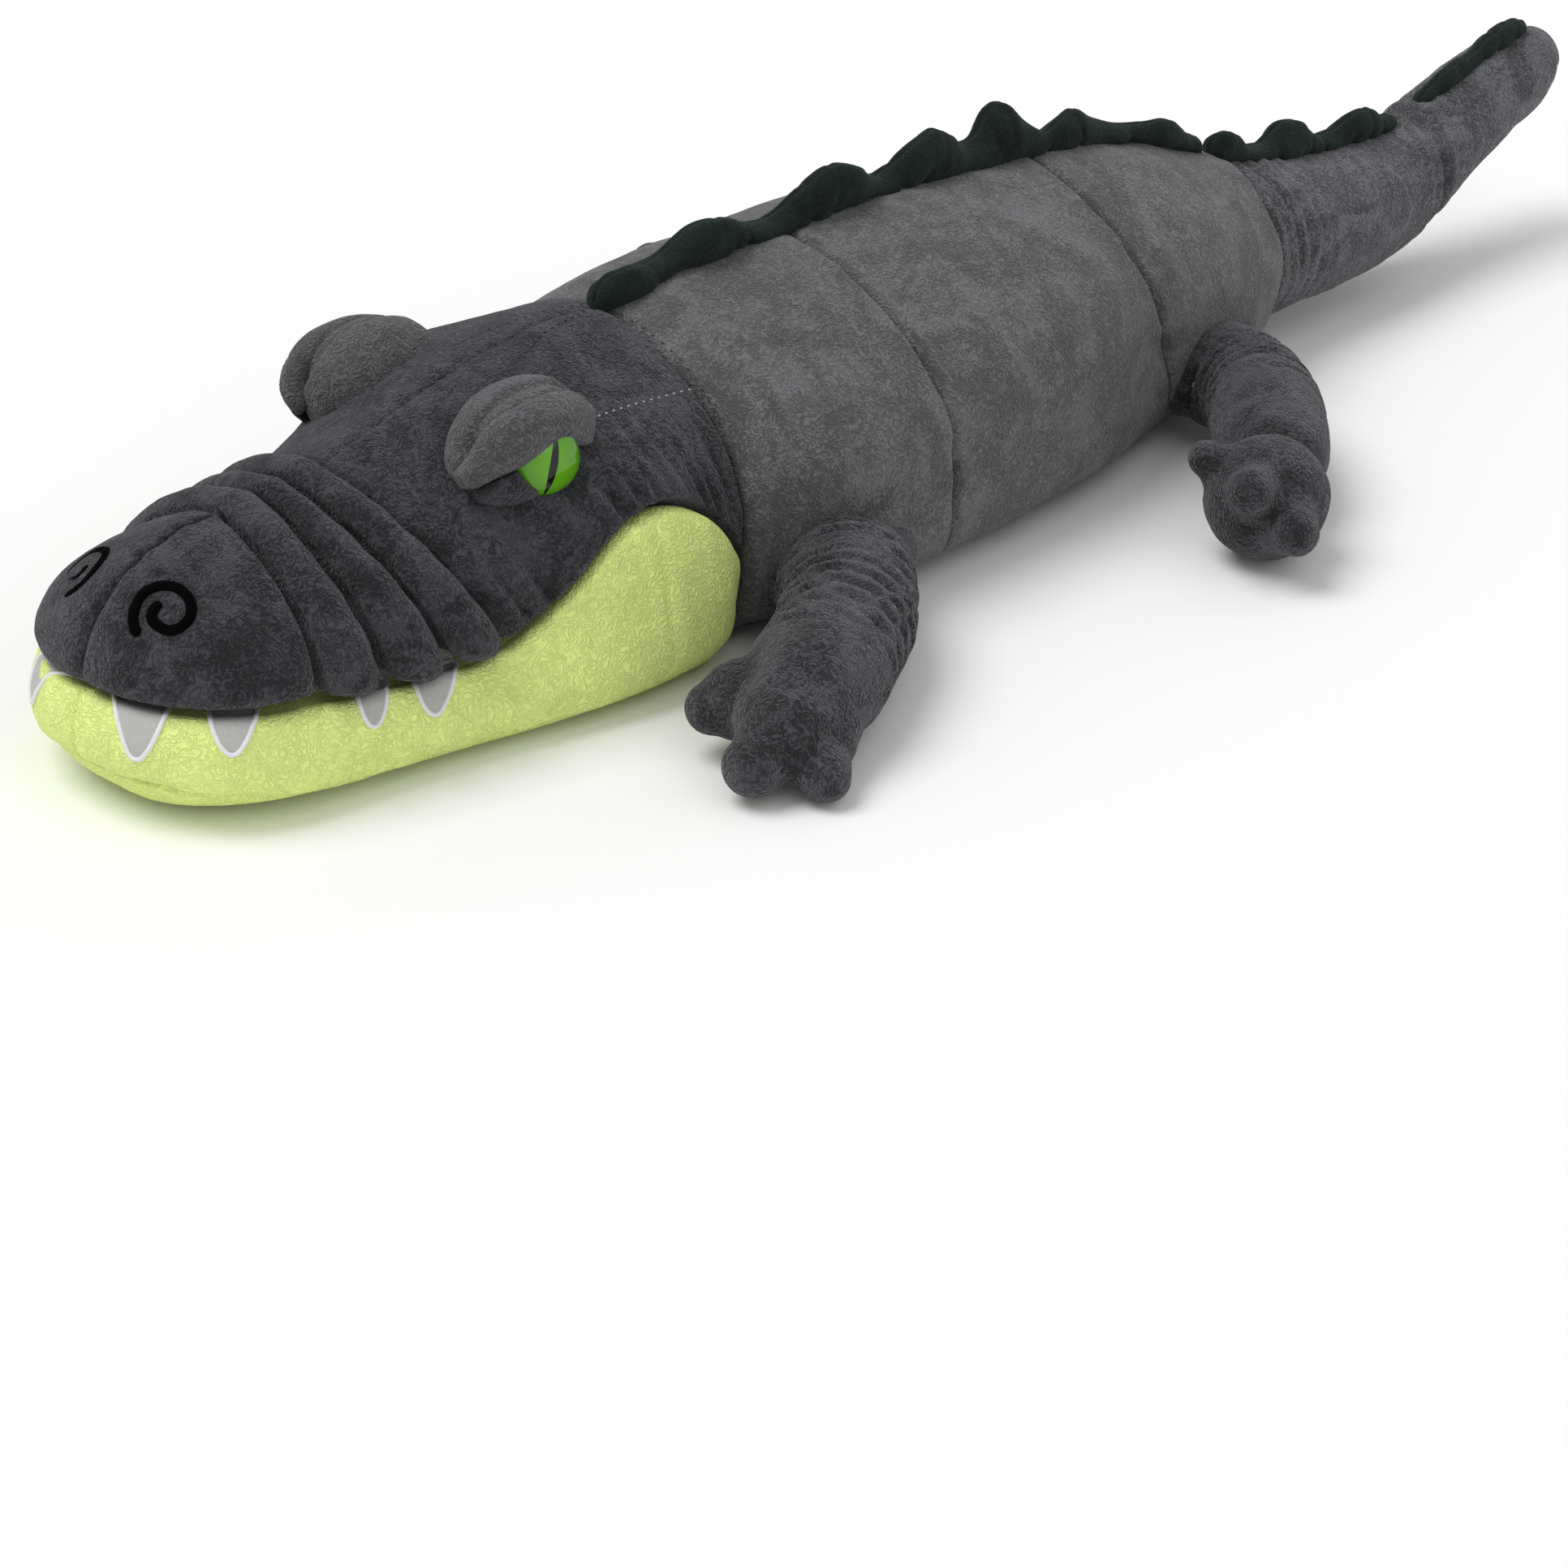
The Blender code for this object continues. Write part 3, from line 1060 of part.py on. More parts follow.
for name, side, panel in (("left", 1, crown_left), ("right", -1, crown_right)):
    along, across, height = MOUND_SHARES
    mound_at = Vector((side * across * HEAD_HALF_WIDTH, head_y(along), height * HEAD_HEIGHT))
    out, back, up = EYE_PLACE_SHARES
    eye_at = mound_at + Vector((side * out * MOUND_HALVES.x, back * MOUND_HALVES.y, up * MOUND_HALVES.z))
    aim = Vector((side * EYE_AIM[0], EYE_AIM[1], EYE_AIM[2])).normalized()
    turn = aim.to_track_quat("X", "Z").to_matrix().to_4x4()
    head_side = (seat_cutter(panel, GAP, MOUND_SEAT_DEPTH), head_core)
    wide_mound = [half + GAP for half in MOUND_HALVES]
    eye_size = (EYE_BULGE, EYE_RADIUS, EYE_RADIUS)
    wide_eye = [size + GAP for size in eye_size]
    stem_end = eye_at - aim * EYE_STEM_LENGTH
    washer_at = eye_at - aim * (EYE_STEM_LENGTH - WASHER_THICKNESS - 2 * GAP)

    mound = add_object("eye_mound_" + name, ellipsoid_mesh(MOUND_HALVES, place=mound_at), "charcoal")
    mound_shape = add_cutter("mound_shape_" + name, ellipsoid_mesh(wide_mound, place=mound_at))
    eye_shape = add_cutter("eye_shape_" + name, ellipsoid_mesh(wide_eye, 14, 8, turn, eye_at))
    hole = rod_mesh(stem_end - aim * WASHER_CLEARANCE, eye_at + aim * EYE_BULGE, EYE_STEM_RADIUS + GAP)
    room = rod_mesh(washer_at - aim * (WASHER_THICKNESS + WASHER_CLEARANCE), washer_at + aim * WASHER_CLEARANCE,
                    WASHER_RADIUS + WASHER_CLEARANCE)
    for cutter in (add_cutter("stem_hole_" + name, hole), add_cutter("washer_room_" + name, room), *head_side):
        cut(mound, cutter)

    eye = add_object("eye_" + name, ellipsoid_mesh(eye_size, 14, 8, turn, eye_at), "eye_green")
    for cutter in (mound_shape, *head_side):
        cut(eye, cutter)
    stem = rod_mesh(stem_end, eye_at + aim * EYE_BULGE / 2, EYE_STEM_RADIUS)
    cut(eye, add_cutter("stem_" + name, stem), "UNION")
    washer_ends = (washer_at - aim * WASHER_THICKNESS, washer_at)
    washer = add_object("eye_washer_" + name, rod_mesh(*washer_ends, WASHER_RADIUS, 16), "washer_white")
    bore = rod_mesh(washer_ends[0] - aim * OVERRUN, washer_ends[1] + aim * OVERRUN, EYE_STEM_RADIUS + GAP)
    cut(washer, add_cutter("washer_bore_" + name, bore))
    lid_cutters = (*head_side, mound_shape, eye_shape)
    upper = lid("upper_lid_" + name, side, mound_at, UPPER_LID_SHARES, UPPER_LID_RADIUS, lid_cutters)
    lower = lid("lower_lid_" + name, side, mound_at, LOWER_LID_SHARES, LOWER_LID_RADIUS, lid_cutters)


# The nostrils: a thick stitched spiral on each half of the nose

for name, side, panel in (("left", 1, nose_left), ("right", -1, nose_right)):
    skin = surface_of([panel])
    along, across, height = NOSTRIL_SHARES
    centre = Vector((side * across * HEAD_HALF_WIDTH, head_y(along), height * HEAD_HEIGHT))
    aim = Vector((side * NOSTRIL_AIM[0], NOSTRIL_AIM[1], NOSTRIL_AIM[2])).normalized()
    level = aim.cross(Vector((0, 0, 1))).normalized() * -side
    up = level.cross(aim).normalized() * side
    points = []
    for degrees, share in NOSTRIL_SPIRAL:
        turn, radius = math.radians(degrees), share * NOSTRIL_RADIUS
        spot = centre + level * math.cos(turn) * radius + up * math.sin(turn) * radius
        points.append(skin.ray_cast(spot + aim * HEAD_HEIGHT, -aim)[0])
    thread = tube_mesh(points, [1.0] * len(points), NOSTRIL_THREAD_RADIUS)
    cut(add_object("nostril_" + name, thread, "thread_black"), seat_cutter(panel, GAP, OVERRUN))


# The teeth: flat felt points that hang from under the lip over the jaw

def jaw_lip_height(along):
    """Height of the jaw's lip between the tabled sections."""
    for before, after in zip(JAW_SHARES, JAW_SHARES[1:]):
        if before[0] <= along <= after[0]:
            share = (along - before[0]) / (after[0] - before[0])
            return (before[2] + (after[2] - before[2]) * share) * HEAD_HEIGHT
    return NOSE_LIP_SHARE * HEAD_HEIGHT - JAW_LIP_DROP


def jaw_place(skin, spot, normal):
    """The place on the jaw behind a spot; above the jaw's lip, straight over the nearest place below."""
    for step in range(12):
        start = spot + normal * HEAD_HEIGHT - Vector((0, 0, step * TOOTH_UNDER_LIP))
        found = skin.ray_cast(start, -normal)[0]
        if found is not None:
            return Vector((found.x, found.y, spot.z))
    return spot


for name, side, panel in (("left", 1, jaw_left), ("right", -1, jaw_right)):
    skin = surface_of([panel])
    seat = seat_cutter(panel, GAP, OVERRUN)
    for number, (along, facing, wide, length) in enumerate(TOOTH_SHARES, 1):
        turn = math.radians(facing)
        normal = Vector((side * math.cos(turn), -math.sin(turn), 0))
        across = Vector((side * math.sin(turn), math.cos(turn), 0))
        if facing:
            reach = nose_lip_place(TOOTH_TURN_SHARE * facing, SNOUT_HALF_WIDTH, NOSE_LENGTH, NOSE_SEAM_Y)
            base = Vector((side * reach.x, reach.y, 0))
            lip = NOSE_LIP_SHARE * HEAD_HEIGHT - JAW_LIP_DROP - TOOTH_UNDER_LIP
        else:
            base = Vector((side * HEAD_HALF_WIDTH, head_y(along), 0))
            lip = jaw_lip_height(along) - TOOTH_UNDER_LIP
        rows = []
        for down, narrow in TOOTH_OUTLINE_SHARES:
            z = lip - down * length * TOOTH_LENGTH
            row = []
            for column in TOOTH_COLUMN_SHARES:
                spot = base + across * column * narrow * wide * TOOTH_HALF_WIDTH + Vector((0, 0, z))
                row.append(jaw_place(skin, spot, normal) + normal * (GAP + TOOTH_THICKNESS))
            rows.append(row)
        tooth = add_object("tooth_{}_{}".format(name, number), cage(rows, inside=Vector((0, NOSE_SEAM_Y, 0))),
                           "tooth_white")
        thicken(tooth, TOOTH_THICKNESS + TOOTH_ROOT)
        cut(tooth, seat)
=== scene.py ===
# The looks of a stuffed plush crocodile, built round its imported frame.
# Metres, +Z up. The snout points along -Y and the animal's own left is +X.
# Places named pixels are in the photograph, which is 1932 pixels square.

import math

import bmesh
import bpy
import numpy as np
from mathutils import Matrix, Vector
from mathutils.bvhtree import BVHTree
from mathutils.geometry import delaunay_2d_cdt


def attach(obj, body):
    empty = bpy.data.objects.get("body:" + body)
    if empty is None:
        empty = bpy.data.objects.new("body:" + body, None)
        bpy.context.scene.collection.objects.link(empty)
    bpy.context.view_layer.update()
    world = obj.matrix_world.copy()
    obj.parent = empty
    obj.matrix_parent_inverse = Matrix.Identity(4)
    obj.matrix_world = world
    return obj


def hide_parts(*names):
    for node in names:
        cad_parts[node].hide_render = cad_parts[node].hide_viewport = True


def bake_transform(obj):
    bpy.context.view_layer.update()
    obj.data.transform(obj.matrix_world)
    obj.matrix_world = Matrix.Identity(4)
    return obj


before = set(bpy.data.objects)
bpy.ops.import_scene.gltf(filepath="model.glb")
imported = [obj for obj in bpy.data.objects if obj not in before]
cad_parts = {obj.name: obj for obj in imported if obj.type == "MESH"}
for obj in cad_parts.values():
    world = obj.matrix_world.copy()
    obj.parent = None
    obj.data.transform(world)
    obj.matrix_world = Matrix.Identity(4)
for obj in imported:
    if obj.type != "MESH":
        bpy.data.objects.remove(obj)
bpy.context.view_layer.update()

ROUND, QUARTER = 2 * math.pi, math.pi / 2
SIDES = ((1, "left"), (-1, "right"))
TINY = 1e-12
UPWARDS = np.array((0, 0, 1.0))

# The camera, fitted to the photograph
AZIMUTH, ELEVATION = math.radians(45.56), math.radians(28.38)
DISTANCE = 2.604
TARGET = np.array((0.0, -0.0477, -0.1858))
FOCAL_PIXELS, IMAGE_PIXELS = 5000.0, 1932
SENSOR_WIDTH = 36.0
LOOK = np.array((math.sin(AZIMUTH) * math.cos(ELEVATION), -math.cos(AZIMUTH) * math.cos(ELEVATION),
                 math.sin(ELEVATION)))
EYE_POINT = TARGET + DISTANCE * LOOK
CAMERA_RIGHT = np.array((math.cos(AZIMUTH), math.sin(AZIMUTH), 0.0))
CAMERA_UP = np.cross(LOOK, CAMERA_RIGHT)


def added(name, data):
    """A new object of the scene."""
    made = bpy.data.objects.new(name, data)
    bpy.context.scene.collection.objects.link(made)
    return made


def turned(made, axes, at):
    """Places an object by the world directions of its three axes."""
    rows = [(*row, place) for row, place in zip(np.transpose(axes), at)]
    made.matrix_world = Matrix((*rows, (0, 0, 0, 1)))


camera_data = bpy.data.cameras.new("camera")
camera_data.sensor_width = SENSOR_WIDTH
camera_data.lens = FOCAL_PIXELS / IMAGE_PIXELS * SENSOR_WIDTH
camera = added("camera", camera_data)
turned(camera, (CAMERA_RIGHT, CAMERA_UP, LOOK), EYE_POINT)
bpy.context.scene.camera = camera


# Directions, smooth curves, noise and grids of points

def unit(way):
    """A direction, or each of an array of them, at length 1."""
    return way / np.maximum(np.linalg.norm(way, axis=-1, keepdims=True), TINY)


def pixel_ray(px, py):
    """The direction from the camera through one pixel of the photograph."""
    across = (px - IMAGE_PIXELS / 2) / FOCAL_PIXELS
    up = (IMAGE_PIXELS / 2 - py) / FOCAL_PIXELS
    return unit(-LOOK + across * CAMERA_RIGHT + up * CAMERA_UP)


def on_plane(px, py, point, normal):
    """The place on a plane that the camera sees at a pixel."""
    ray = pixel_ray(px, py)
    return EYE_POINT + ray * ((np.array(point) - EYE_POINT) @ normal / (ray @ normal))


def mirrored(places, side):
    return np.asarray(places) * np.array((side, 1, 1))


def circle(count):
    """Even angles once round."""
    return np.linspace(0, ROUND, count + 1)[:-1]


def sphere(rise, turn):
    """A grid of points of the unit sphere."""
    return np.array([[(math.cos(r) * math.cos(t), math.cos(r) * math.sin(t), math.sin(r)) for t in turn] for r in rise])


def signed_power(value, power):
    return np.sign(value) * np.abs(value) ** power


def spline(xs, ys, x):
    """Values of a smooth curve through tabled places."""
    xs, ys, x = np.asarray(xs, float), np.asarray(ys, float), np.asarray(x, float)
    flat = ys.reshape(len(xs), -1)
    step = np.diff(xs)[:, None]
    slope = np.diff(flat, axis=0) / step
    tangent = np.empty_like(flat)
    tangent[0], tangent[-1] = slope[0], slope[-1]
    tangent[1:-1] = (slope[:-1] * step[1:] + slope[1:] * step[:-1]) / (step[1:] + step[:-1])
    index = np.clip(np.searchsorted(xs, x.ravel()) - 1, 0, len(xs) - 2)
    t = ((x.ravel() - xs[index]) / step[index, 0])[:, None]
    h = step[index]
    value = ((2 * t**3 - 3 * t**2 + 1) * flat[index] + (t**3 - 2 * t**2 + t) * h * tangent[index]
             + (3 * t**2 - 2 * t**3) * flat[index + 1] + (t**3 - t**2) * h * tangent[index + 1])
    return value.reshape(x.shape + ys.shape[1:])


def through(points, count):
    """A smooth curve through points at even steps of their number."""
    return spline(np.arange(len(points)), points, np.linspace(0, len(points) - 1, count))


def length(points):
    return np.linalg.norm(np.diff(np.asarray(points, float), axis=0), axis=1).sum()


def even(points, count, closed=False):
    """A line of points resampled to even steps."""
    points = np.asarray(points, float)
    if closed:
        points = np.vstack([points, points[:1]])
    run = np.concatenate([[0], np.cumsum(np.linalg.norm(np.diff(points, axis=0), axis=1))])
    places = np.linspace(0, run[-1], count + 1)[:-1] if closed else np.linspace(0, run[-1], count)
    return np.stack([np.interp(places, run, points[:, i]) for i in range(points.shape[1])], 1)


HASH_PRIMES = (73856093, 19349663, 83492791)
HASH_FACTORS = (1274126177, 2246822519)
WORD = 0xFFFFFFFF


def noise(places, size, seed=0):
    """Smooth noise from -1 to 1 whose lumps are about one size wide."""
    q = np.asarray(places, float) / size + seed * 17.31
    cell = np.floor(q).astype(np.int64)
    f = q - cell
    f = f * f * f * (f * (f * 6 - 15) + 10)
    total = np.zeros(q.shape[:-1])
    for corner in np.ndindex(*(2,) * q.shape[-1]):
        spot = cell + np.array(corner)
        mix = np.full(total.shape, seed * 7919 + 13, np.int64)
        for axis, prime in zip(range(q.shape[-1]), HASH_PRIMES):
            mix ^= spot[..., axis] * prime
        mix = (mix ^ (mix >> 13)) * HASH_FACTORS[0] & WORD
        mix = (mix ^ (mix >> 16)) * HASH_FACTORS[1] & WORD
        value = ((mix >> 8) & 0xFFFF) / 32767.5 - 1
        total += np.prod(np.where(np.array(corner) == 1, f, 1 - f), axis=-1) * value
    return total


def noise_of(*axes, seed):
    """Noise over measures that are already shares of its size."""
    return noise(np.stack(axes, -1), 1.0, seed)


def outward(grid, around=False, inside=None):
    """Unit normals of a grid of points, turned away from its inside."""
    across = np.roll(grid, -1, 1) - np.roll(grid, 1, 1) if around else np.gradient(grid, axis=1)
    normal = unit(np.cross(across, np.gradient(grid, axis=0)))
    centre = grid.reshape(-1, 3).mean(0) if inside is None else np.array(inside)
    return -normal if ((grid - centre) * normal).sum() < 0 else normal


def run_lengths(grid, axis):
    """Lengths along a grid's rows or columns, from its first point."""
    step = np.linalg.norm(np.diff(grid, axis=axis), axis=-1)
    zero = np.zeros_like(np.take(step, [0], axis=axis))
    return np.cumsum(np.concatenate([zero, step], axis=axis), axis=axis)


def from_ends(run, axis):
    """Distances to the nearer end of each row or column."""
    return np.minimum(run, np.take(run, [-1], axis=axis) - run)


# What sewing and stuffing do to a panel

LUMPS = ((0.0016, 0.085), (0.0008, 0.032))        # depth and size
CRINKLES = ((0.0007, 0.024), (0.00035, 0.011))


def soft(grid, seed, size=1.0):
    """Lumps and fine crinkles of stuffed fabric."""
    found = [depth * noise(grid, wide, seed + index) for index, (depth, wide) in enumerate(LUMPS)]
    found += [-depth * np.abs(noise(grid, wide, seed + index)) for index, (depth, wide) in enumerate(CRINKLES, 2)]
    return size * sum(found)


def pillow(edge, radius):
    """How far a panel's rolled edge lies below it, at distances from the edge."""
    near = np.clip(1 - edge / radius, 0, 1)
    return radius * (1 - np.sqrt(np.clip(1 - near**2, 0, 1)))


def puckers(along, edge, pitch, reach, seed, depth, fade, least=0.6):
    """Dents that the thread draws in along a seam and that fade away from it."""
    return depth * np.exp(-edge / fade) * (least + noise_of(along / pitch, edge / reach, seed=seed))


def displaced(grid, normal, seed, down, softness=1.0):
    return grid + normal * (soft(grid, seed, softness) - down)[..., None]


def tucked(grid, normal, last=True, depth=0.014):
    """Adds a line of points below a grid's first and last rows, so that no gap shows in a seam."""
    rows = [grid[:1] - normal[:1] * depth, grid]
    if last:
        rows.append(grid[-1:] - normal[-1:] * depth)
    return np.concatenate(rows)


def tucked_sides(grid, normal, depth):
    return tucked(grid.swapaxes(0, 1), normal.swapaxes(0, 1), depth=depth).swapaxes(0, 1)


def tucked_in(grid, first=None, last=None, depth=0.016, axis_height=0.085):
    """Tucks a head panel's end rows in towards the head's axis, shifted along it under the next panel."""
    rows = [grid]
    for shift, at in ((first, 0), (last, -1)):
        if shift is None:
            continue
        row = grid[at]
        way = unit(np.stack([-row[:, 0], np.zeros(len(row)), axis_height - row[:, 2]], 1))
        rows.insert(0 if at == 0 else len(rows), (row + way * depth + np.array((0, shift, 0)))[None])
    return np.concatenate(rows)


def press(grid, height=0.0):
    """Flattens what would sink below the floor."""
    grid[..., 2] = np.maximum(grid[..., 2], height)
    return grid


# Mesh pieces

WELD, SLIVER = 0.00004, 0.00002


def open_loops(shape):
    """The edges of each hole of a mesh."""
    left = dict.fromkeys(edge for edge in shape.edges if edge.is_boundary)
    loops = []
    while left:
        stack, loop = [left.popitem()[0]], []
        while stack:
            edge = stack.pop()
            loop.append(edge)
            for other in (other for vertex in edge.verts for other in vertex.link_edges):
                if other in left:
                    del left[other]
                    stack.append(other)
        loops.append(loop)
    return loops


def build(name, vertices, faces, material, seal_at=None, body="torso", replaces=(), fill=0.8, slot=None):
    """A mesh piece: welded, sealed where wanted, smooth, riding on its body."""
    mesh = bpy.data.meshes.new(name)
    mesh.from_pydata([tuple(v) for v in np.asarray(vertices, float).reshape(-1, 3)], [], faces)
    shape = bmesh.new()
    shape.from_mesh(mesh)
    bmesh.ops.remove_doubles(shape, verts=shape.verts, dist=WELD)
    bmesh.ops.dissolve_degenerate(shape, edges=shape.edges, dist=SLIVER)
    for face in shape.faces:
        face.smooth = True
    if seal_at is not None:
        for loop in open_loops(shape):
            around = dict.fromkeys(vertex for edge in loop for vertex in edge.verts)
            centre = sum((vertex.co for vertex in around), Vector()) / len(around)
            tip = shape.verts.new(centre if seal_at == "ends" else Vector(seal_at))
            for edge in loop:
                edge.smooth = False
                shape.faces.new((*edge.verts, tip))
    bmesh.ops.recalc_face_normals(shape, faces=shape.faces)
    shape.to_mesh(mesh)
    shape.free()
    made = added(name, mesh)
    mesh.materials.append(material)
    if replaces:
        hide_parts(*replaces)
    if body:
        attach(made, body)
    return made


def grid_faces(rows, columns, around=False):
    index = np.arange(rows * columns).reshape(rows, columns)
    if around:
        index = np.concatenate([index, index[:, :1]], axis=1)
    corners = (index[:-1, :-1], index[:-1, 1:], index[1:, 1:], index[1:, :-1])
    return np.stack(corners, -1).reshape(-1, 4).tolist()


def sheet(name, grid, material, around=False, **options):
    return build(name, grid, grid_faces(*grid.shape[:2], around), material, **options)


def skin(name, grid, material, slot, seal_at="ends", **options):
    """A sewn panel or tube in place of the frame's solid of that name."""
    return sheet(name + "_skin", grid, material, seal_at=seal_at, replaces=(name,), slot=slot, **options)


def joined(forms):
    """The points and faces of several meshes as one."""
    vertices, faces = [], []
    for places, found in forms:
        base = len(vertices)
        vertices += [tuple(p) for p in places]
        faces += [[base + i for i in face] for face in found]
    return vertices, faces


def tree_of(parts):
    """A search tree of finished pieces, for rays and nearest places."""
    forms = [([part.matrix_world @ v.co for v in part.data.vertices], [face.vertices for face in part.data.polygons])
             for part in parts]
    return BVHTree.FromPolygons(*joined(forms))


def cast(tree, px, py):
    """Where the camera's ray through a pixel meets a piece, and the way it faces there."""
    place, normal, *_ = tree.ray_cast(Vector(EYE_POINT), Vector(pixel_ray(px, py)))
    return None if place is None else (np.array(place), np.array(normal))


# Materials

def new_material(name, **sockets):
    """A node material; _ stands for a space in a socket's name."""
    made = bpy.data.materials.new(name)
    made.use_nodes = True
    shader = made.node_tree.nodes["Principled BSDF"]
    for socket, value in sockets.items():
        shader.inputs[socket.replace("_", " ")].default_value = value
    return made, made.node_tree, shader


def math_node(tree, kind, *values):
    found = tree.nodes.new("ShaderNodeMath")
    found.operation = kind
    for socket, value in zip(found.inputs, values):
        if isinstance(value, (int, float)):
            socket.default_value = value
        else:
            tree.links.new(value, socket)
    return found.outputs[0]


def weighted(tree, *terms):
    """The sum of some outputs, each times its weight."""
    parts = [math_node(tree, "MULTIPLY", value, weight) for value, weight in terms]
    total = parts[0]
    for part in parts[1:]:
        total = math_node(tree, "ADD", total, part)
    return total


def texture(tree, place, scale, detail=2.0, distortion=0.0, roughness=0.5):
    found = tree.nodes.new("ShaderNodeTexNoise")
    values = (("Scale", scale), ("Detail", detail), ("Distortion", distortion), ("Roughness", roughness))
    for socket, value in values:
        found.inputs[socket].default_value = value
    tree.links.new(place, found.inputs["Vector"])
    return found.outputs["Fac"]


def ramp(tree, factor, *stops):
    """A colour ramp, given the position and colour of each stop, both ends first."""
    found = tree.nodes.new("ShaderNodeValToRGB")
    elements = found.color_ramp.elements
    for index, (position, color) in enumerate(stops):
        stop = elements[index] if index < 2 else elements.new(position)
        stop.position = position
        stop.color = (*color, 1)
    tree.links.new(factor, found.inputs["Fac"])
    return found.outputs["Color"]


def bump(tree, shader, height, strength, distance):
    found = tree.nodes.new("ShaderNodeBump")
    found.inputs["Strength"].default_value = strength
    found.inputs["Distance"].default_value = distance
    tree.links.new(height, found.inputs["Height"])
    tree.links.new(found.outputs["Normal"], shader.inputs["Normal"])


# Scale, detail, distortion and roughness of the pile's textures
PATCHES = (19.0, 2.5, 1.8)
SWIRLS = (70.0, 3.0, 3.0, 0.6)
WORMS = (150.0, 0.0, 2.6)
FIBRES = (700.0, 2.0, 0.6)
FINE_FIBRES = (1600.0, 1.0, 0.0)
PILE_RAMP = (0.41, 0.59)
PILE_BUMP, PILE_HEIGHT = 0.60, 0.0016


def plush(name, color, light=1.35, pile=1.0, swirl=1.0, sheen=0.35):
    """Short pile: fine fibres, patches where it lies the other way, embossed worms and a soft sheen."""
    made, tree, shader = new_material(
        name, Roughness=0.92, Sheen_Weight=sheen, Sheen_Roughness=0.45, Specular_IOR_Level=0.15,
        Sheen_Tint=(*[min(1.0, 0.35 + 0.65 * c / max(color)) for c in color], 1))
    place = tree.nodes.new("ShaderNodeTexCoord").outputs["Object"]
    patches, swirls = (texture(tree, place, scale, detail, distortion * swirl, *rest)
                       for scale, detail, distortion, *rest in (PATCHES, SWIRLS))
    worms, fibres, fine = (texture(tree, place, *layer) for layer in (WORMS, FIBRES, FINE_FIBRES))
    away = math_node(tree, "MULTIPLY", math_node(tree, "SUBTRACT", worms, 0.5), 5.0)
    ridge = math_node(tree, "MINIMUM", math_node(tree, "ABSOLUTE", away), 1.0)
    brushed = weighted(tree, (patches, 0.66), (swirls, 0.34))
    tone = weighted(tree, (brushed, 0.82), (fibres, 0.18), (math_node(tree, "SUBTRACT", ridge, 0.6), 0.150 * pile))
    stops = ([c / light for c in color], [min(c * light, 1.0) for c in color])
    tree.links.new(ramp(tree, tone, *zip(PILE_RAMP, stops)), shader.inputs["Base Color"])
    height = weighted(tree, (fibres, 0.55 * pile), (fine, 0.25 * pile), (swirls, 0.9), (ridge, 1.60 * pile))
    bump(tree, shader, height, PILE_BUMP, PILE_HEIGHT)
    return made


def plain(name, color, roughness, grain_scale, grain_depth=0.0003, **sockets):
    """Felt, thread or plastic with a fine grain."""
    made, tree, shader = new_material(name, Roughness=roughness, **sockets)
    grain = texture(tree, tree.nodes.new("ShaderNodeTexCoord").outputs["Object"], grain_scale)
    bump(tree, shader, grain, 0.6, grain_depth)
    stops = ((0.0, [c * 0.85 for c in color]), (1.0, [min(1, c * 1.12) for c in color]))
    tree.links.new(ramp(tree, grain, *stops), shader.inputs["Base Color"])
    return made


CHARCOAL = plush("charcoal_plush", (0.031, 0.031, 0.035), 1.95, sheen=0.20)
GREY = plush("grey_plush", (0.110, 0.110, 0.115), 1.42, sheen=0.22)
LEG_GREY = plush("leg_plush", (0.034, 0.035, 0.038), 2.0, sheen=0.24)
TAIL_GREY = plush("tail_plush", (0.078, 0.078, 0.085), 1.7, swirl=1.4, sheen=0.25)
LID_GREY = plush("lid_plush", (0.088, 0.088, 0.093), 1.3, pile=1.6, sheen=0.25)
LIME = plush("lime_plush", (0.800, 0.930, 0.300), 1.06, swirl=0.7, sheen=0.1, pile=0.7)
CREST_GREEN = plush("crest_plush", (0.0085, 0.0150, 0.0125), 1.35, pile=0.4, sheen=0.06)
THREAD = plain("black_thread", (0.0012, 0.0012, 0.0016), 0.9, 900.0, Specular_IOR_Level=0.03)
DARK_STITCH = plain("dark_thread", (0.012, 0.012, 0.014), 0.8, 900.0)
PALE_STITCH = plain("pale_thread", (0.42, 0.41, 0.42), 0.8, 900.0)
FELT = plain("tooth_felt", (0.46, 0.47, 0.45), 0.9, 700.0)
SATIN = plain("silver_satin", (0.78, 0.79, 0.80), 0.40, 1100.0)
WASHER = plain("washer_plastic", (0.70, 0.70, 0.68), 0.45, 300.0, 0.00005)
STUFFING = plush("polyester_fibre", (0.78, 0.78, 0.76), 1.1, pile=1.6, swirl=1.6)

# The body's three sections: y, half width, top, lean, bottom and the power of the lower half
BODY = np.array((
    (-0.195, 0.1215, 0.1840, 0.000, 0.0000, 4.5),
    (-0.150, 0.1345, 0.1900, -0.020, 0.0000, 4.5),
    (-0.090, 0.1415, 0.1925, -0.030, 0.0000, 4.5),
    (-0.045, 0.1425, 0.1930, -0.040, 0.0000, 4.5),
    (0.025, 0.1405, 0.1950, -0.080, 0.0000, 4.5),
    (0.118, 0.1250, 0.1920, -0.200, 0.0000, 4.2),
    (0.188, 0.1030, 0.1865, -0.270, 0.0000, 4.0),
    (0.243, 0.0955, 0.1785, -0.180, 0.0000, 3.6),
    (0.302, 0.0800, 0.1590, -0.080, 0.0020, 3.0),
    (0.358, 0.0640, 0.1385, 0.000, 0.0120, 2.0),
))
SECTIONS = (("chest_section", 0, 3), ("middle_section", 3, 6), ("hip_section", 6, 9))
UPPER_POWER = 1.72
FINE_POINTS, RING_POINTS = 1440, 216
STATION_STEP = 0.0034
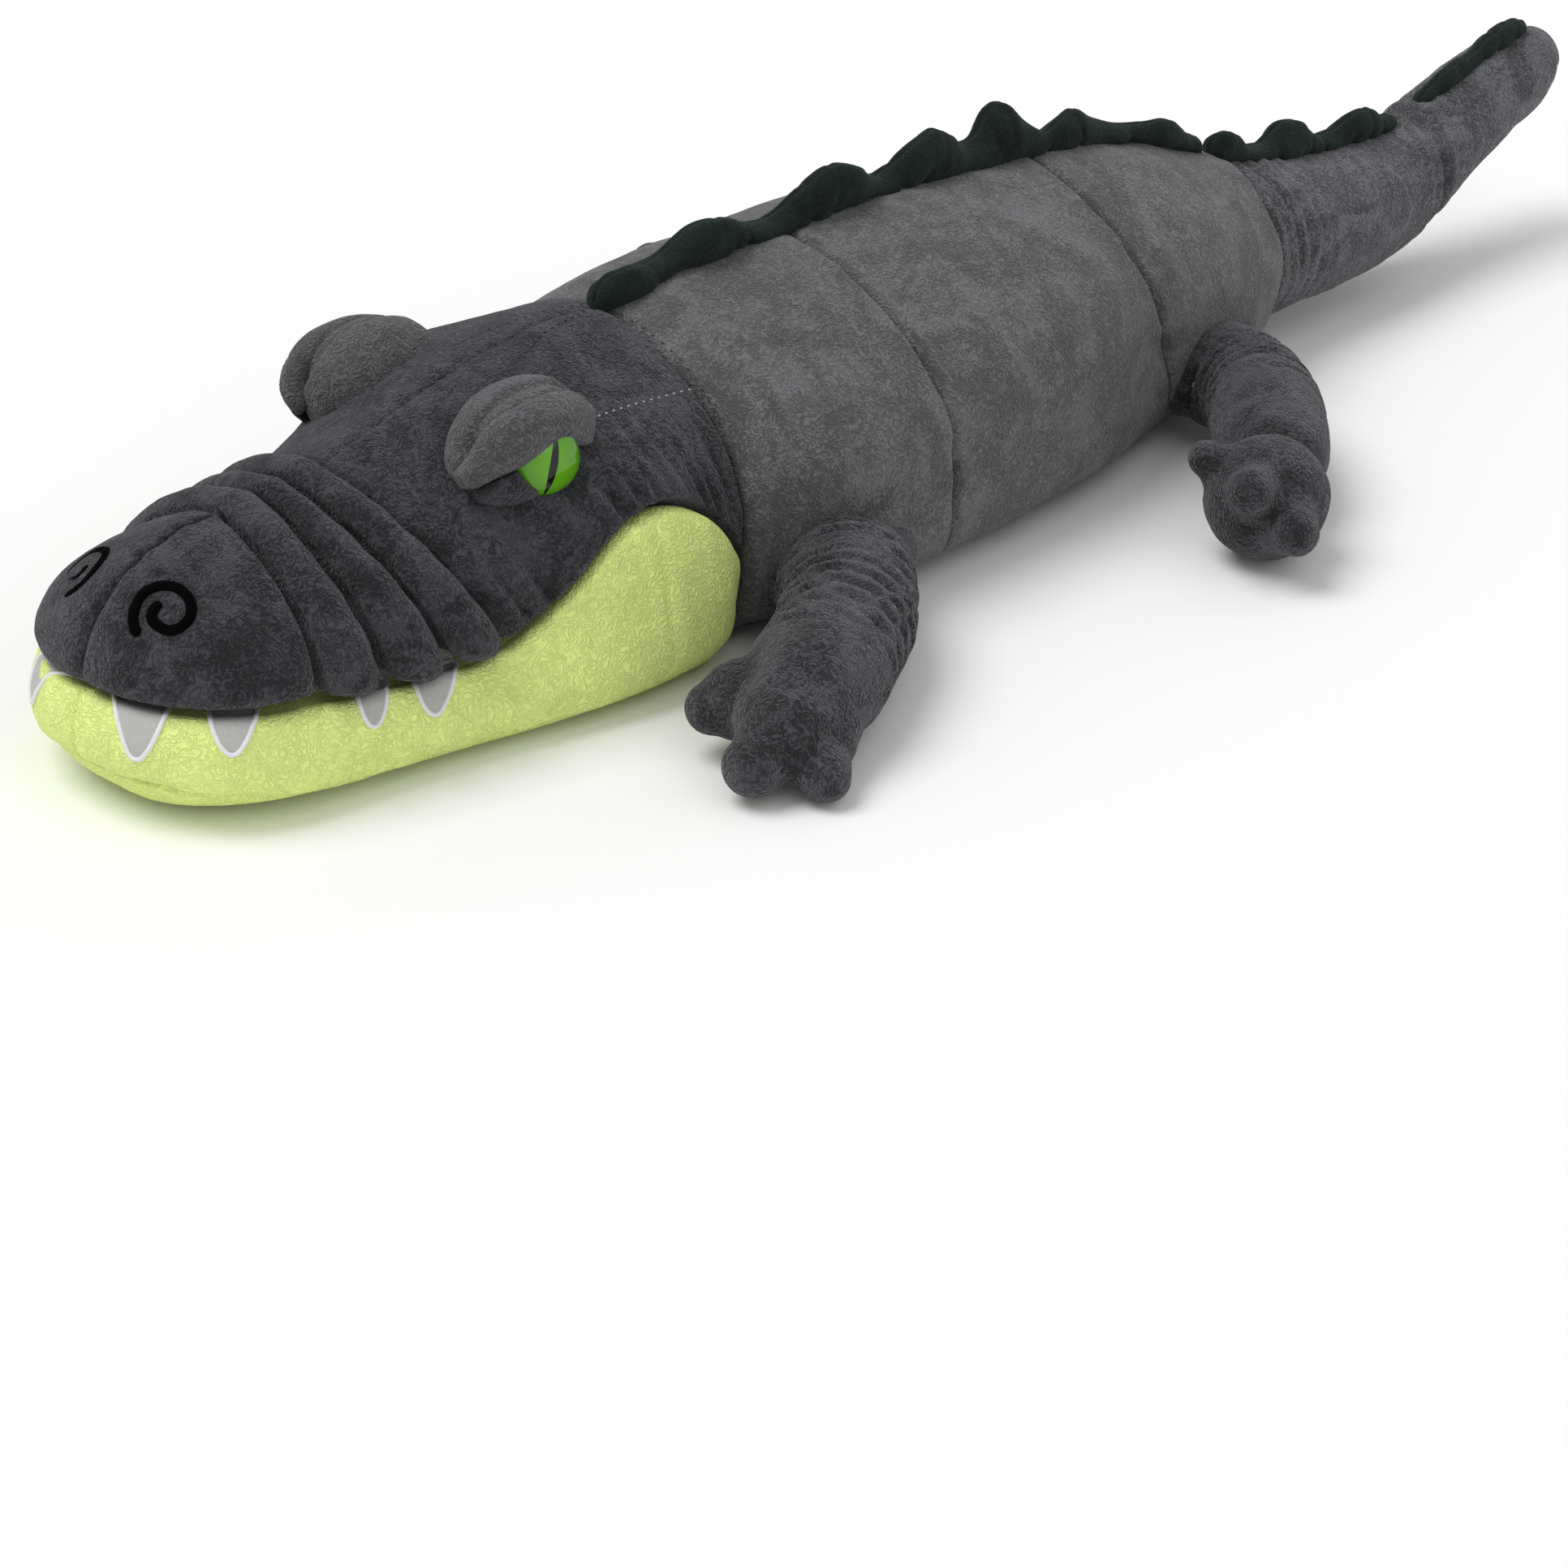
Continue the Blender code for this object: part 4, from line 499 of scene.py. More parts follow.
SEAM_ROLL, SEAM_PUCKER, SEAM_TUCK = 0.0055, 0.0011, 0.008
DRAG_DEPTH, DRAG_PITCH, DRAG_LENGTH, DRAG_WIDTH, DRAG_SLOPE = 0.0016, 0.016, 0.11, 0.12, 0.6
DRAG_TOP, DRAG_FADE, DRAG_FOOT = 0.15, 0.08, 0.03


def body_outline(row):
    """A ring round the body, rounder above than below."""
    y, half_width, top, lean, bottom, lower = row
    turn = circle(FINE_POINTS) + QUARTER
    power = np.where(np.sin(turn) >= 0, UPPER_POWER, lower)
    across, rise = signed_power(np.cos(turn), 2 / power), signed_power(np.sin(turn), 2 / power)
    middle, half = (top + bottom) / 2, (top - bottom) / 2
    ring = np.stack([across * half_width, np.zeros_like(turn), middle + rise * half], 1)
    ring = even(ring, RING_POINTS, closed=True)
    ring[:, 1] = y + lean * (ring[:, 2] - middle)
    return ring


def body_section(start, end, seed):
    """A tube with rolled, puckered seams at both ends and drag lines low on its sides."""
    places = np.linspace(start, end, int((end - start) / STATION_STEP) + 1)
    grid = np.array([body_outline((y, *spline(BODY[:, 0], BODY[:, 1:], y))) for y in places])
    normal = outward(grid, True)
    along, around = run_lengths(grid, 0), run_lengths(grid, 1)
    x, y, z = np.moveaxis(grid, -1, 0)
    drag = noise_of((z + DRAG_SLOPE * y) / DRAG_PITCH, (y - DRAG_SLOPE * z) / DRAG_LENGTH, x / DRAG_WIDTH,
                    seed=seed + 15)
    low = np.clip((DRAG_TOP - z) / DRAG_FADE, 0, 1) * np.clip(z / DRAG_FOOT, 0, 1)
    down = DRAG_DEPTH * np.clip(drag, 0, 1) * low
    for edge in (along, along[-1:] - along):
        down += pillow(edge, SEAM_ROLL) + puckers(around, edge, 0.013, 0.05, seed + 5, SEAM_PUCKER, 0.020)
    return press(tucked(displaced(grid, normal, seed, down), normal, depth=SEAM_TUCK))


for seed, (name, first, last) in enumerate(SECTIONS, 1):
    skin(name, body_section(BODY[first, 0], BODY[last, 0], seed), GREY, "grey", around=True)

# The head's upper side. Its tables are shares of the head's length, half width and height.
HEAD_L, HEAD_W, HEAD_H, NECK = 0.380, 0.125, 0.187, 0.195
CROWN_FALL, ROLL_FALL, NOSE_FALL = 1.38, 1.42, 1.65
# Length at the lip and at the top, half width, lip and top
CROWN = np.array((
    (0.00, 0.00, 0.955, 0.345, 0.985),
    (0.06, 0.09, 0.985, 0.515, 1.005),
    (0.15, 0.21, 1.000, 0.630, 0.985),
    (0.25, 0.33, 0.985, 0.600, 0.940),
    (0.35, 0.45, 0.935, 0.440, 0.865),
    (0.45, 0.555, 0.880, 0.335, 0.800),
))
CROWN_ROWS, CROWN_COLUMNS = 86, 113
CROWN_NECK_ROLL, CROWN_ROLL, CROWN_LIP_ROLL = 0.0055, 0.0070, 0.0060
CHEEK_REACH, CHEEK_LIP, CHEEK_START = 0.075, 0.008, 0.02
FOLD_DEPTH, FOLD_PITCH, FOLD_WANDER = 0.0080, 0.0145, 0.006
CENTRE_DEPTH, CENTRE_WIDTH = 0.0018, 0.0022
TURNS = np.linspace(0, math.pi, 241)


def head_y(share):
    return -NECK - np.asarray(share) * HEAD_L


HEAD_CENTRE = (0.0, float(head_y(0.45)), 0.085)


def arch(lip_at, top_at, wide, lip, top, fall, out=0.0):
    """A line over the head from the left lip to the right one."""
    rise = np.sin(TURNS)
    y_lip, y_top = head_y(lip_at), head_y(top_at)
    low, high = lip * HEAD_H, top * HEAD_H + out
    across = (wide * HEAD_W + out) * signed_power(np.cos(TURNS), fall)
    return np.stack([across, y_lip + (y_top - y_lip) * rise, low + (high - low) * rise], -1)


def neck_width(z):
    """The body's half width at the neck seam."""
    _, half_width, top, _, _, lower = BODY[0]
    rise = z / (top / 2) - 1
    power = np.where(rise > 0, UPPER_POWER, lower)
    return half_width * np.clip(1 - np.abs(rise) ** power, 0, 1) ** (1 / power)


control = np.array([arch(*row, CROWN_FALL) for row in CROWN])
control[0, :, 0] = np.sign(np.cos(TURNS)) * neck_width(control[0, :, 2])
crown = spline(np.arange(len(CROWN)), control, np.linspace(0, len(CROWN) - 1, CROWN_ROWS))
crown = np.array([even(line, CROWN_COLUMNS) for line in crown])
normal = outward(crown, inside=HEAD_CENTRE)
along, around = run_lengths(crown, 0), run_lengths(crown, 1)
lip_edge, off_centre = from_ends(around, 1), np.abs(crown[..., 0])
down = pillow(along, CROWN_NECK_ROLL) + pillow(along[-1:] - along, CROWN_ROLL) + pillow(lip_edge, CROWN_LIP_ROLL)
cheek = np.clip(1 - lip_edge / CHEEK_REACH, 0, 1) ** 0.7 * np.clip(lip_edge / CHEEK_LIP, 0, 1)
wander = FOLD_WANDER * noise_of(along / 0.03, lip_edge / 0.05, seed=21)
folds = 0.5 + 0.5 * np.sin(ROUND * (along + wander) / FOLD_PITCH)
patch = np.clip(0.55 + noise_of(along / 0.035, lip_edge / 0.045, seed=22), 0, 1)
down += FOLD_DEPTH * cheek * folds**2 * patch * np.clip(along / CHEEK_START, 0, 1)
down += CENTRE_DEPTH * np.exp(-((off_centre / CENTRE_WIDTH) ** 2))
down += puckers(along, off_centre, 0.011, 0.03, 24, 0.0010, 0.012)
down += puckers(around, along, 0.012, 0.05, 23, 0.0010, 0.018)
crown = tucked_in(displaced(crown, normal, 11, down), 0.006, -0.008)
half = CROWN_COLUMNS // 2
for name, panel in (("crown_left", crown[:, :half + 1]), ("crown_right", crown[:, half:][:, ::-1])):
    skin(name, panel, CHARCOAL, "charcoal", HEAD_CENTRE)

# The three snout rolls: half width, lip and top at their four seams, and where these lie
ROLLS = np.array(((0.755, 0.350, 0.760), (0.800, 0.325, 0.770), (0.840, 0.315, 0.785), (0.880, 0.335, 0.800)))
ROLL_LIP = (0.766, 0.655, 0.550, 0.450)
ROLL_TOP = (0.737, 0.671, 0.613, 0.555)
ROLL_OUT, ROLL_INSET, ROLL_LAP = 0.0105, 0.001, 0.007
ROLL_EDGE, ROLL_LIP_EDGE = 0.0060, 0.0130
ROLL_CENTRE = (0.0, float(head_y(0.60)), 0.08)
roll_seams = np.column_stack([ROLL_LIP, ROLL_TOP, ROLLS])
bulb = 0.75 + 0.65 * np.abs(np.cos(TURNS))[:, None] ** 3
for index, name in enumerate(("snout_roll_front", "snout_roll_middle", "snout_roll_rear")):
    lines = []
    for share in np.linspace(0, 1, 15):
        row = roll_seams[index] * (1 - share) + roll_seams[index + 1] * share
        out = ROLL_OUT * (1 - abs(2 * share - 1) ** 2.2) - ROLL_INSET
        line = arch(*row, ROLL_FALL)
        lines.append(even(line + (arch(*row, ROLL_FALL, out) - line) * bulb, 105))
    roll = np.array(lines)
    normal = outward(roll, inside=HEAD_CENTRE)
    around = run_lengths(roll, 1)
    seam, lip_edge = from_ends(run_lengths(roll, 0), 0), from_ends(around, 1)
    down = pillow(seam, ROLL_EDGE) + pillow(lip_edge, ROLL_LIP_EDGE)
    down += puckers(around, seam, 0.014, 0.03, 31 + index, 0.0011, 0.012, 0.5)
    roll = tucked_in(displaced(roll, normal, 41 + index, down), -ROLL_LAP, ROLL_LAP)
    skin(name, roll, CHARCOAL, "charcoal", ROLL_CENTRE)

# The nose
NOSE_L, NOSE_W, NOSE_POWER = 0.089, 0.096, 2 / 2.15
NOSE_SEAM_Y, NOSE_POLE_Y = float(head_y(ROLL_LIP[0])), float(head_y(ROLL_TOP[0]))
NOSE_LIP, NOSE_TOP = 0.365 * HEAD_H, 0.775 * HEAD_H
NOSE_FLAT = 0.75                  # share of the side from which it runs straight to the pole
FRONT_LIP_RISE = 0.0045
NOSE_LIP_ROLL, NOSE_CENTRE_ROLL, NOSE_SEAM_ROLL = 0.0085, 0.0045, 0.0060
NOSE_INSIDE = (0.0, NOSE_POLE_Y + 0.01, NOSE_LIP + 0.01)


def nose_foot(turn, half_width, reach, seam_y):
    """The snout's outline from above."""
    return half_width * np.cos(turn) ** NOSE_POWER, seam_y - reach * np.sin(turn) ** NOSE_POWER


quarter = np.linspace(0, QUARTER, 161)
foot_x, foot_y = nose_foot(quarter, NOSE_W, NOSE_L, NOSE_SEAM_Y)
feet = even(np.stack([foot_x, foot_y, NOSE_LIP + FRONT_LIP_RISE * np.sin(quarter)], 1), 45)
rises = np.linspace(0, QUARTER, 49)
up, back = np.sin(rises), np.cos(rises)
rows = []
for foot in feet:
    side = np.clip((foot[1] - (NOSE_SEAM_Y - NOSE_L)) / NOSE_L, 0, 1)
    mix = np.clip((side - NOSE_FLAT) / (1 - NOSE_FLAT), 0, 1)
    y_round = NOSE_POLE_Y + (foot[1] - NOSE_POLE_Y) * back
    y_seam = foot[1] + (NOSE_POLE_Y - foot[1]) * up
    y = y_round * (1 - mix) + y_seam * mix
    rows.append(even(np.stack([foot[0] * back**NOSE_FALL, y, foot[2] + (NOSE_TOP - foot[2]) * up], 1), 41))
nose_parts = []
for side, word in SIDES:
    nose = mirrored(rows, side)
    normal = outward(nose, inside=(0, NOSE_POLE_Y, NOSE_LIP))
    to_seam, up = run_lengths(nose, 0), run_lengths(nose, 1)
    off_centre = np.abs(nose[..., 0])
    down = pillow(up, NOSE_LIP_ROLL) + pillow(off_centre, NOSE_CENTRE_ROLL) + pillow(to_seam, NOSE_SEAM_ROLL)
    down += puckers(up, off_centre, 0.0085, 0.03, 51, 0.0016, 0.010, 0.5)
    nose = tucked_in(displaced(nose, normal, 53 if side > 0 else 54, down), 0.012)
    nose_parts.append(skin("nose_" + word, nose, CHARCOAL, "charcoal", NOSE_INSIDE))

# The jaw and the chin. Each row of the jaw holds its place along the head and four pairs of
# half width and height, from the lip down to the chin.
NECK_JAW = (0.335, 0.250, 0.110, 0.050)
JAW = np.array((
    (0.06, 0.970, 0.505, 1.040, 0.360, 1.070, 0.160, 0.960, 0.050),
    (0.15, 0.985, 0.615, 1.060, 0.440, 1.110, 0.170, 1.020, 0.055),
    (0.25, 0.970, 0.585, 1.030, 0.400, 1.090, 0.160, 1.020, 0.055),
    (0.35, 0.915, 0.425, 0.970, 0.300, 1.035, 0.145, 0.985, 0.055),
    (0.45, 0.855, 0.317, 0.907, 0.245, 0.970, 0.135, 0.930, 0.055),
    (0.55, 0.820, 0.305, 0.875, 0.235, 0.920, 0.135, 0.880, 0.060),
    (0.655, 0.780, 0.315, 0.835, 0.240, 0.870, 0.140, 0.830, 0.065),
    (0.766, 0.740, 0.340, 0.795, 0.260, 0.825, 0.155, 0.790, 0.075),
))
JAW_FRONT_DEGREES = (24, 46, 68, 90)
JAW_ROWS, JAW_COLUMNS, CHIN_COLUMNS = 150, 33, 61
CHIN_RISE, JAW_PUFF, JAW_INSET, NECK_INSET = 0.015, 0.0075, 0.0015, 0.003
JAW_LIP_ROLL, JAW_ROLL, JAW_NECK_ROLL = 0.0065, 0.0035, 0.0055
DART_Y, DART_DEPTH, DART_WIDTH, DART_FOOT = -0.268, 0.0016, 0.0022, 0.04
CHIN_FRONT_FADE, CHIN_POWER = 0.014, 3.5
JAW_CENTRE = (0.0, float(head_y(0.5)), 0.05)

jaw_rows = [[(float(neck_width(h * HEAD_H)) - NECK_INSET, -NECK, h * HEAD_H) for h in NECK_JAW]]
for row in JAW:
    jaw_rows.append([(w * HEAD_W, float(head_y(row[0])), h * HEAD_H) for w, h in zip(row[1::2], row[2::2])])
side_row = np.array(jaw_rows[-1])
lifts = (NOSE_LIP + FRONT_LIP_RISE - JAW_INSET - side_row[0, 2], 0.3 * CHIN_RISE, 0.3 * CHIN_RISE, CHIN_RISE)
for degrees in JAW_FRONT_DEGREES:
    turn = math.radians(degrees)
    row = []
    for place, proud, lift in zip(side_row, (0.0, JAW_PUFF, JAW_PUFF, 0.0), lifts):
        x, y = nose_foot(np.array(turn), place[0], NOSE_L - JAW_INSET, place[1])
        row.append((float(x) if degrees < 90 else 0.0, float(y) - proud * math.sin(turn),
                    place[2] + math.sin(turn) * lift))
    jaw_rows.append(row)
jaw_rows = np.array(jaw_rows)
across_fine = np.array([spline((0, 1.0, 2.1, 3.0), row, np.linspace(0, 3, 45)) for row in jaw_rows])
run = np.concatenate([[0], np.cumsum(np.linalg.norm(np.diff(jaw_rows[:, 1], axis=0), axis=1))])
jaw = spline(run, across_fine, np.linspace(0, run[-1], JAW_ROWS))
jaw = np.array([even(line, JAW_COLUMNS) for line in jaw])
jaw_parts = []
for side, word in SIDES:
    panel = mirrored(jaw, side)
    normal = outward(panel, inside=JAW_CENTRE)
    along, lip_edge = run_lengths(panel, 0), run_lengths(panel, 1)
    chin_edge = lip_edge[:, -1:] - lip_edge
    down = pillow(lip_edge, JAW_LIP_ROLL) + pillow(chin_edge, JAW_ROLL) + pillow(np.abs(panel[..., 0]), JAW_ROLL)
    down += pillow(along, JAW_NECK_ROLL)
    down += puckers(along, chin_edge, 0.016, 0.05, 61, 0.0012, 0.018, 0.4)
    down += puckers(along, lip_edge, 0.011, 0.04, 62, 0.0009, 0.014, 0.4)
    dart = np.exp(-(((panel[..., 1] - DART_Y) / DART_WIDTH) ** 2))
    down += DART_DEPTH * dart * np.clip(panel[..., 2] / DART_FOOT, 0, 1)
    panel = tucked(displaced(panel, normal, 63 if side > 0 else 64, down, 0.8), normal, last=False)
    panel = tucked_sides(panel, np.vstack([normal[:1], normal]), 0.010)
    jaw_parts.append(skin("jaw_" + word, press(panel, 0.0002), LIME, "lime", JAW_CENTRE))

share = np.linspace(-1, 1, CHIN_COLUMNS)
rows = []
for x, y, z in jaw[:, -1]:
    low = z * math.exp(-(y - jaw[-1, -1, 1]) / CHIN_FRONT_FADE)
    rows.append(np.stack([x * share, np.full(CHIN_COLUMNS, y), low + (z - low) * np.abs(share) ** CHIN_POWER], 1))
chin = np.array(rows)
down = pillow(from_ends(run_lengths(chin, 1), 1), JAW_ROLL)
chin = displaced(chin, outward(chin, inside=JAW_CENTRE), 71, down, 0.5)
sheet("chin_skin", press(chin), LIME, seal_at=JAW_CENTRE, replaces=("chin_panel",), slot="lime")

# The tail and its tip: y, height of the axis and radius
TAIL = np.array((
    (0.354, 0.0740, 0.0605), (0.385, 0.0720, 0.0575), (0.430, 0.0675, 0.0530), (0.480, 0.0650, 0.0505),
    (0.530, 0.0680, 0.0455), (0.570, 0.0800, 0.0400), (0.610, 0.0950, 0.0355), (0.650, 0.1090, 0.0335),
    (0.690, 0.1205, 0.0310), (0.708, 0.1265, 0.0230), (0.717, 0.1290, 0.0120), (0.7195, 0.1295, 0.0010),
))
TAIL_STEP, TAIL_SIDES, TAIL_SEED, TAIL_LAP, TAIL_ROLL = 0.003, 96, 81, 0.005, 0.0055
CREASE_Y, CREASE_DEPTH, CREASE_WIDTH = 0.561, 0.0045, 0.0045
END_Y, END_STATIONS, TILT_SHARE = 0.70, 12, 0.8
RING_PITCH, RING_WANDER, RING_TURN = 0.0135, 0.012, 0.06
RING_FOLDS = ((0.0060, 0.385, 0.032), (0.0040, 0.556, 0.024))         # depth, middle and reach


def tail_grid(start, end, end_cap):
    """A tube along the tail, with ring folds where it flexes and a crease before its tip."""
    places = np.linspace(start, end, int((end - start) / TAIL_STEP) + 1)
    if end_cap:
        places = np.concatenate([places[places < END_Y], np.linspace(END_Y, end, END_STATIONS)])
    axis = spline(TAIL[:, 0], TAIL[:, 1:], places)
    turn = circle(TAIL_SIDES) + QUARTER
    rows = []
    for y, (z, radius), slope in zip(places, axis, np.gradient(axis[:, 0], places)):
        tilt = math.atan(slope) * (TILT_SHARE if y < END_Y else 1.0)
        rise = np.sin(turn) * radius
        rows.append(np.stack([np.cos(turn) * radius, y - rise * math.sin(tilt), z + rise * math.cos(tilt)], 1))
    grid = np.array(rows)
    normal = outward(grid, True)
    along, around = run_lengths(grid, 0), run_lengths(grid, 1) / RING_TURN
    place = grid[..., 1]
    wander = RING_WANDER * noise(np.stack([np.cos(around), np.sin(around)], -1), 1.3, TAIL_SEED)
    ring = np.abs(np.sin(math.pi * (place + wander) / RING_PITCH)) ** 0.7
    strength = sum(depth * np.exp(-(((place - middle) / reach) ** 2)) for depth, middle, reach in RING_FOLDS)
    down = strength * (1 - ring) * (0.8 + 0.5 * noise(grid, 0.03, TAIL_SEED + 3))
    down += CREASE_DEPTH * np.exp(-(((place - CREASE_Y - wander * 0.3) / CREASE_WIDTH) ** 2))
    if not end_cap:
        down += pillow(along, TAIL_ROLL)
    return displaced(grid, normal, TAIL_SEED + 9, down)


root_grid = press(tail_grid(TAIL[0, 0], CREASE_Y + TAIL_LAP, False), 0.0005)
tail_root = skin("tail_root", root_grid, TAIL_GREY, "tail_grey", around=True, body=None)
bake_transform(tail_root)
tip_grid = tail_grid(CREASE_Y - TAIL_LAP, TAIL[-1, 0], True)
tail_tip = skin("tail_tip", tip_grid, TAIL_GREY, "tail_grey", around=True, body=None)
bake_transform(tail_tip)

# The legs

RELAX = 0.6


def remeshed(name, parts, voxel, smoothing):
    """One smooth skin round several closed forms: its points, normals and faces."""
    vertices, faces = joined(parts)
    mesh = bpy.data.meshes.new(name)
    mesh.from_pydata(vertices, [], faces)
    made = added(name, mesh)
    modifier = made.modifiers.new("remesh", "REMESH")
    modifier.mode = "VOXEL"
    modifier.voxel_size = voxel
    relax = made.modifiers.new("relax", "SMOOTH")
    relax.factor = RELAX
    relax.iterations = smoothing
    graph = bpy.context.evaluated_depsgraph_get()
    result = bpy.data.meshes.new_from_object(made.evaluated_get(graph))
    bpy.data.objects.remove(made)
    measures = []
    for what in ("co", "normal"):
        values = np.empty(len(result.vertices) * 3)
        result.vertices.foreach_get(what, values)
        measures.append(values.reshape(-1, 3))
    return *measures, [list(face.vertices) for face in result.polygons]


def tube(path, wide, tall, sides=32):
    """A closed tube along a path, given its radii across and upwards."""
    path = np.asarray(path, float)
    turn = circle(sides)
    places = []
    for point, way, half_width, half_height in zip(path, unit(np.gradient(path, axis=0)), wide, tall):
        across = unit(np.cross(way, UPWARDS))
        up = np.cross(across, way)
        places.append(point + np.outer(np.cos(turn) * half_width, across) + np.outer(np.sin(turn) * half_height, up))
    faces = grid_faces(len(path), sides, True)
    faces.append(list(range(sides))[::-1])
    faces.append([(len(path) - 1) * sides + i for i in range(sides)])
    return np.array(places).reshape(-1, 3), faces


def ball(centre, radii, segments=24, rings=16):
    rise = np.linspace(-QUARTER, QUARTER, rings + 1)[1:-1]
    places = sphere(rise, circle(segments)).reshape(-1, 3).tolist() + [(0, 0, -1), (0, 0, 1)]
    faces = grid_faces(rings - 1, segments, True)
    last = (rings - 1) * segments
    for i in range(segments):
        after = (i + 1) % segments
        faces.append([last, after, i])
        faces.append([last + 1, last - segments + i, last - segments + after])
    return np.array(places) * np.array(radii) + np.array(centre), faces


def floor_spot(px, py, height):
    """The spot at a height above the floor that the camera sees at a pixel."""
    return on_plane(px, py, (0, 0, height), UPWARDS)


REAR_PAD = (*floor_spot(1560, 612, 0.0405), 0.0395)
TOE_SUNK, TOE_PROUD, TOE_FORWARD = 0.012, 0.002, 0.006


def rear_toes(pixels):
    """Toes on the rear pad where the camera sees them: base, tip and radius."""
    centre, radius = np.array(REAR_PAD[:3]), REAR_PAD[3]
    found = []
    for px, py, size in pixels:
        ray = pixel_ray(px, py)
        b = (EYE_POINT - centre) @ ray
        c = (EYE_POINT - centre) @ (EYE_POINT - centre) - radius**2
        spot = EYE_POINT + ray * (-b - math.sqrt(max(b * b - c, 0.0)))
        normal = unit(spot - centre)
        found.append((spot - normal * TOE_SUNK, spot + normal * TOE_PROUD + LOOK * TOE_FORWARD, size))
    return found


# Root and its flat disc, path, radii across and upwards along it, round pads, toes (base, tip
# and radius) and the stretch with ring folds
FRONT = dict(root=(0.105, -0.125, 0.039), disc=(0.0625, 0.030), wrinkles=(0.030, 0.178))
REAR = dict(root=(0.072, 0.254, 0.039), disc=(0.0555, 0.029), wrinkles=(0.030, 0.125))
LEGS = {
    "front_leg_left": dict(
        FRONT, mirror=1, seed=101,
        path=((0.105, -0.125, 0.041), (0.135, -0.137, 0.043), (0.162, -0.155, 0.042), (0.187, -0.182, 0.041),
              (0.211, -0.219, 0.040), (0.228, -0.252, 0.038), (0.237, -0.272, 0.034)),
        wide=(0.040, 0.044, 0.042, 0.0405, 0.0395, 0.041, 0.034),
        tall=(0.030, 0.036, 0.040, 0.0405, 0.0395, 0.0375, 0.030),
        pads=((*floor_spot(915, 862, 0.033), 0.0235), (*floor_spot(972, 905, 0.030), 0.0290)),
        toes=(((0.212, -0.250, 0.036), floor_spot(879, 872, 0.030), 0.0158),
              ((0.231, -0.268, 0.031), floor_spot(930, 946, 0.0205), 0.0185),
              ((0.246, -0.256, 0.031), floor_spot(1016, 957, 0.0160), 0.0160))),
    "front_leg_right": dict(
        FRONT, mirror=-1, seed=102,
        path=((0.105, -0.125, 0.041), (0.135, -0.120, 0.043), (0.162, -0.106, 0.042), (0.185, -0.075, 0.041),
              (0.199, -0.032, 0.040), (0.203, 0.012, 0.037), (0.202, 0.035, 0.033)),
        wide=(0.040, 0.042, 0.039, 0.036, 0.035, 0.037, 0.030),
        tall=(0.030, 0.036, 0.038, 0.0375, 0.0370, 0.035, 0.028),
        pads=(),
        toes=(((0.192, 0.012, 0.034), (0.170, 0.062, 0.028), 0.0165),
              ((0.201, 0.022, 0.031), (0.196, 0.078, 0.020), 0.0180),
              ((0.211, 0.012, 0.031), (0.225, 0.060, 0.019), 0.0165))),
    "rear_leg_left": dict(
        REAR, mirror=1, seed=103,
        path=((0.072, 0.254, 0.041), (0.102, 0.248, 0.043), (0.130, 0.238, 0.043), (0.158, 0.220, 0.043),
              (0.184, 0.197, 0.043), (0.205, 0.178, 0.043), (0.214, 0.168, 0.043)),
        wide=(0.036, 0.038, 0.036, 0.036, 0.037, 0.036, 0.032),
        tall=(0.029, 0.034, 0.036, 0.037, 0.037, 0.036, 0.032),
        pads=(REAR_PAD,),
        toes=rear_toes(((1490, 568, 0.0130), (1540, 606, 0.0160), (1592, 655, 0.0165)))),
}
LEGS["rear_leg_right"] = dict(LEGS["rear_leg_left"], mirror=-1, seed=104)
LEG_STATIONS, TOE_STATIONS = 60, 9
TOE_TAPER, TOE_HEIGHT = (1.45, 0.88), 0.96
SKIN_VOXEL, SKIN_SMOOTHING, SKIN_LOWEST = 0.0030, 5, 0.0004
FILLING_VOXEL, FILLING_SMOOTHING, FILLING_LOWEST = 0.0060, 6, 0.006
FILLING_INSET, FILLING_LUMPS, FILLING_SEED = 0.0095, 0.0010, 171
LEG_FOLD_DEPTH, LEG_FOLD_PITCH, LEG_FOLD_WANDER = 0.0095, 0.0150, 0.010
LEG_FOLD_START, LEG_FOLD_END = 0.015, 0.030
TOE_FOLD_DEPTH, TOE_FOLD_WIDTH = 0.0034, 0.0035

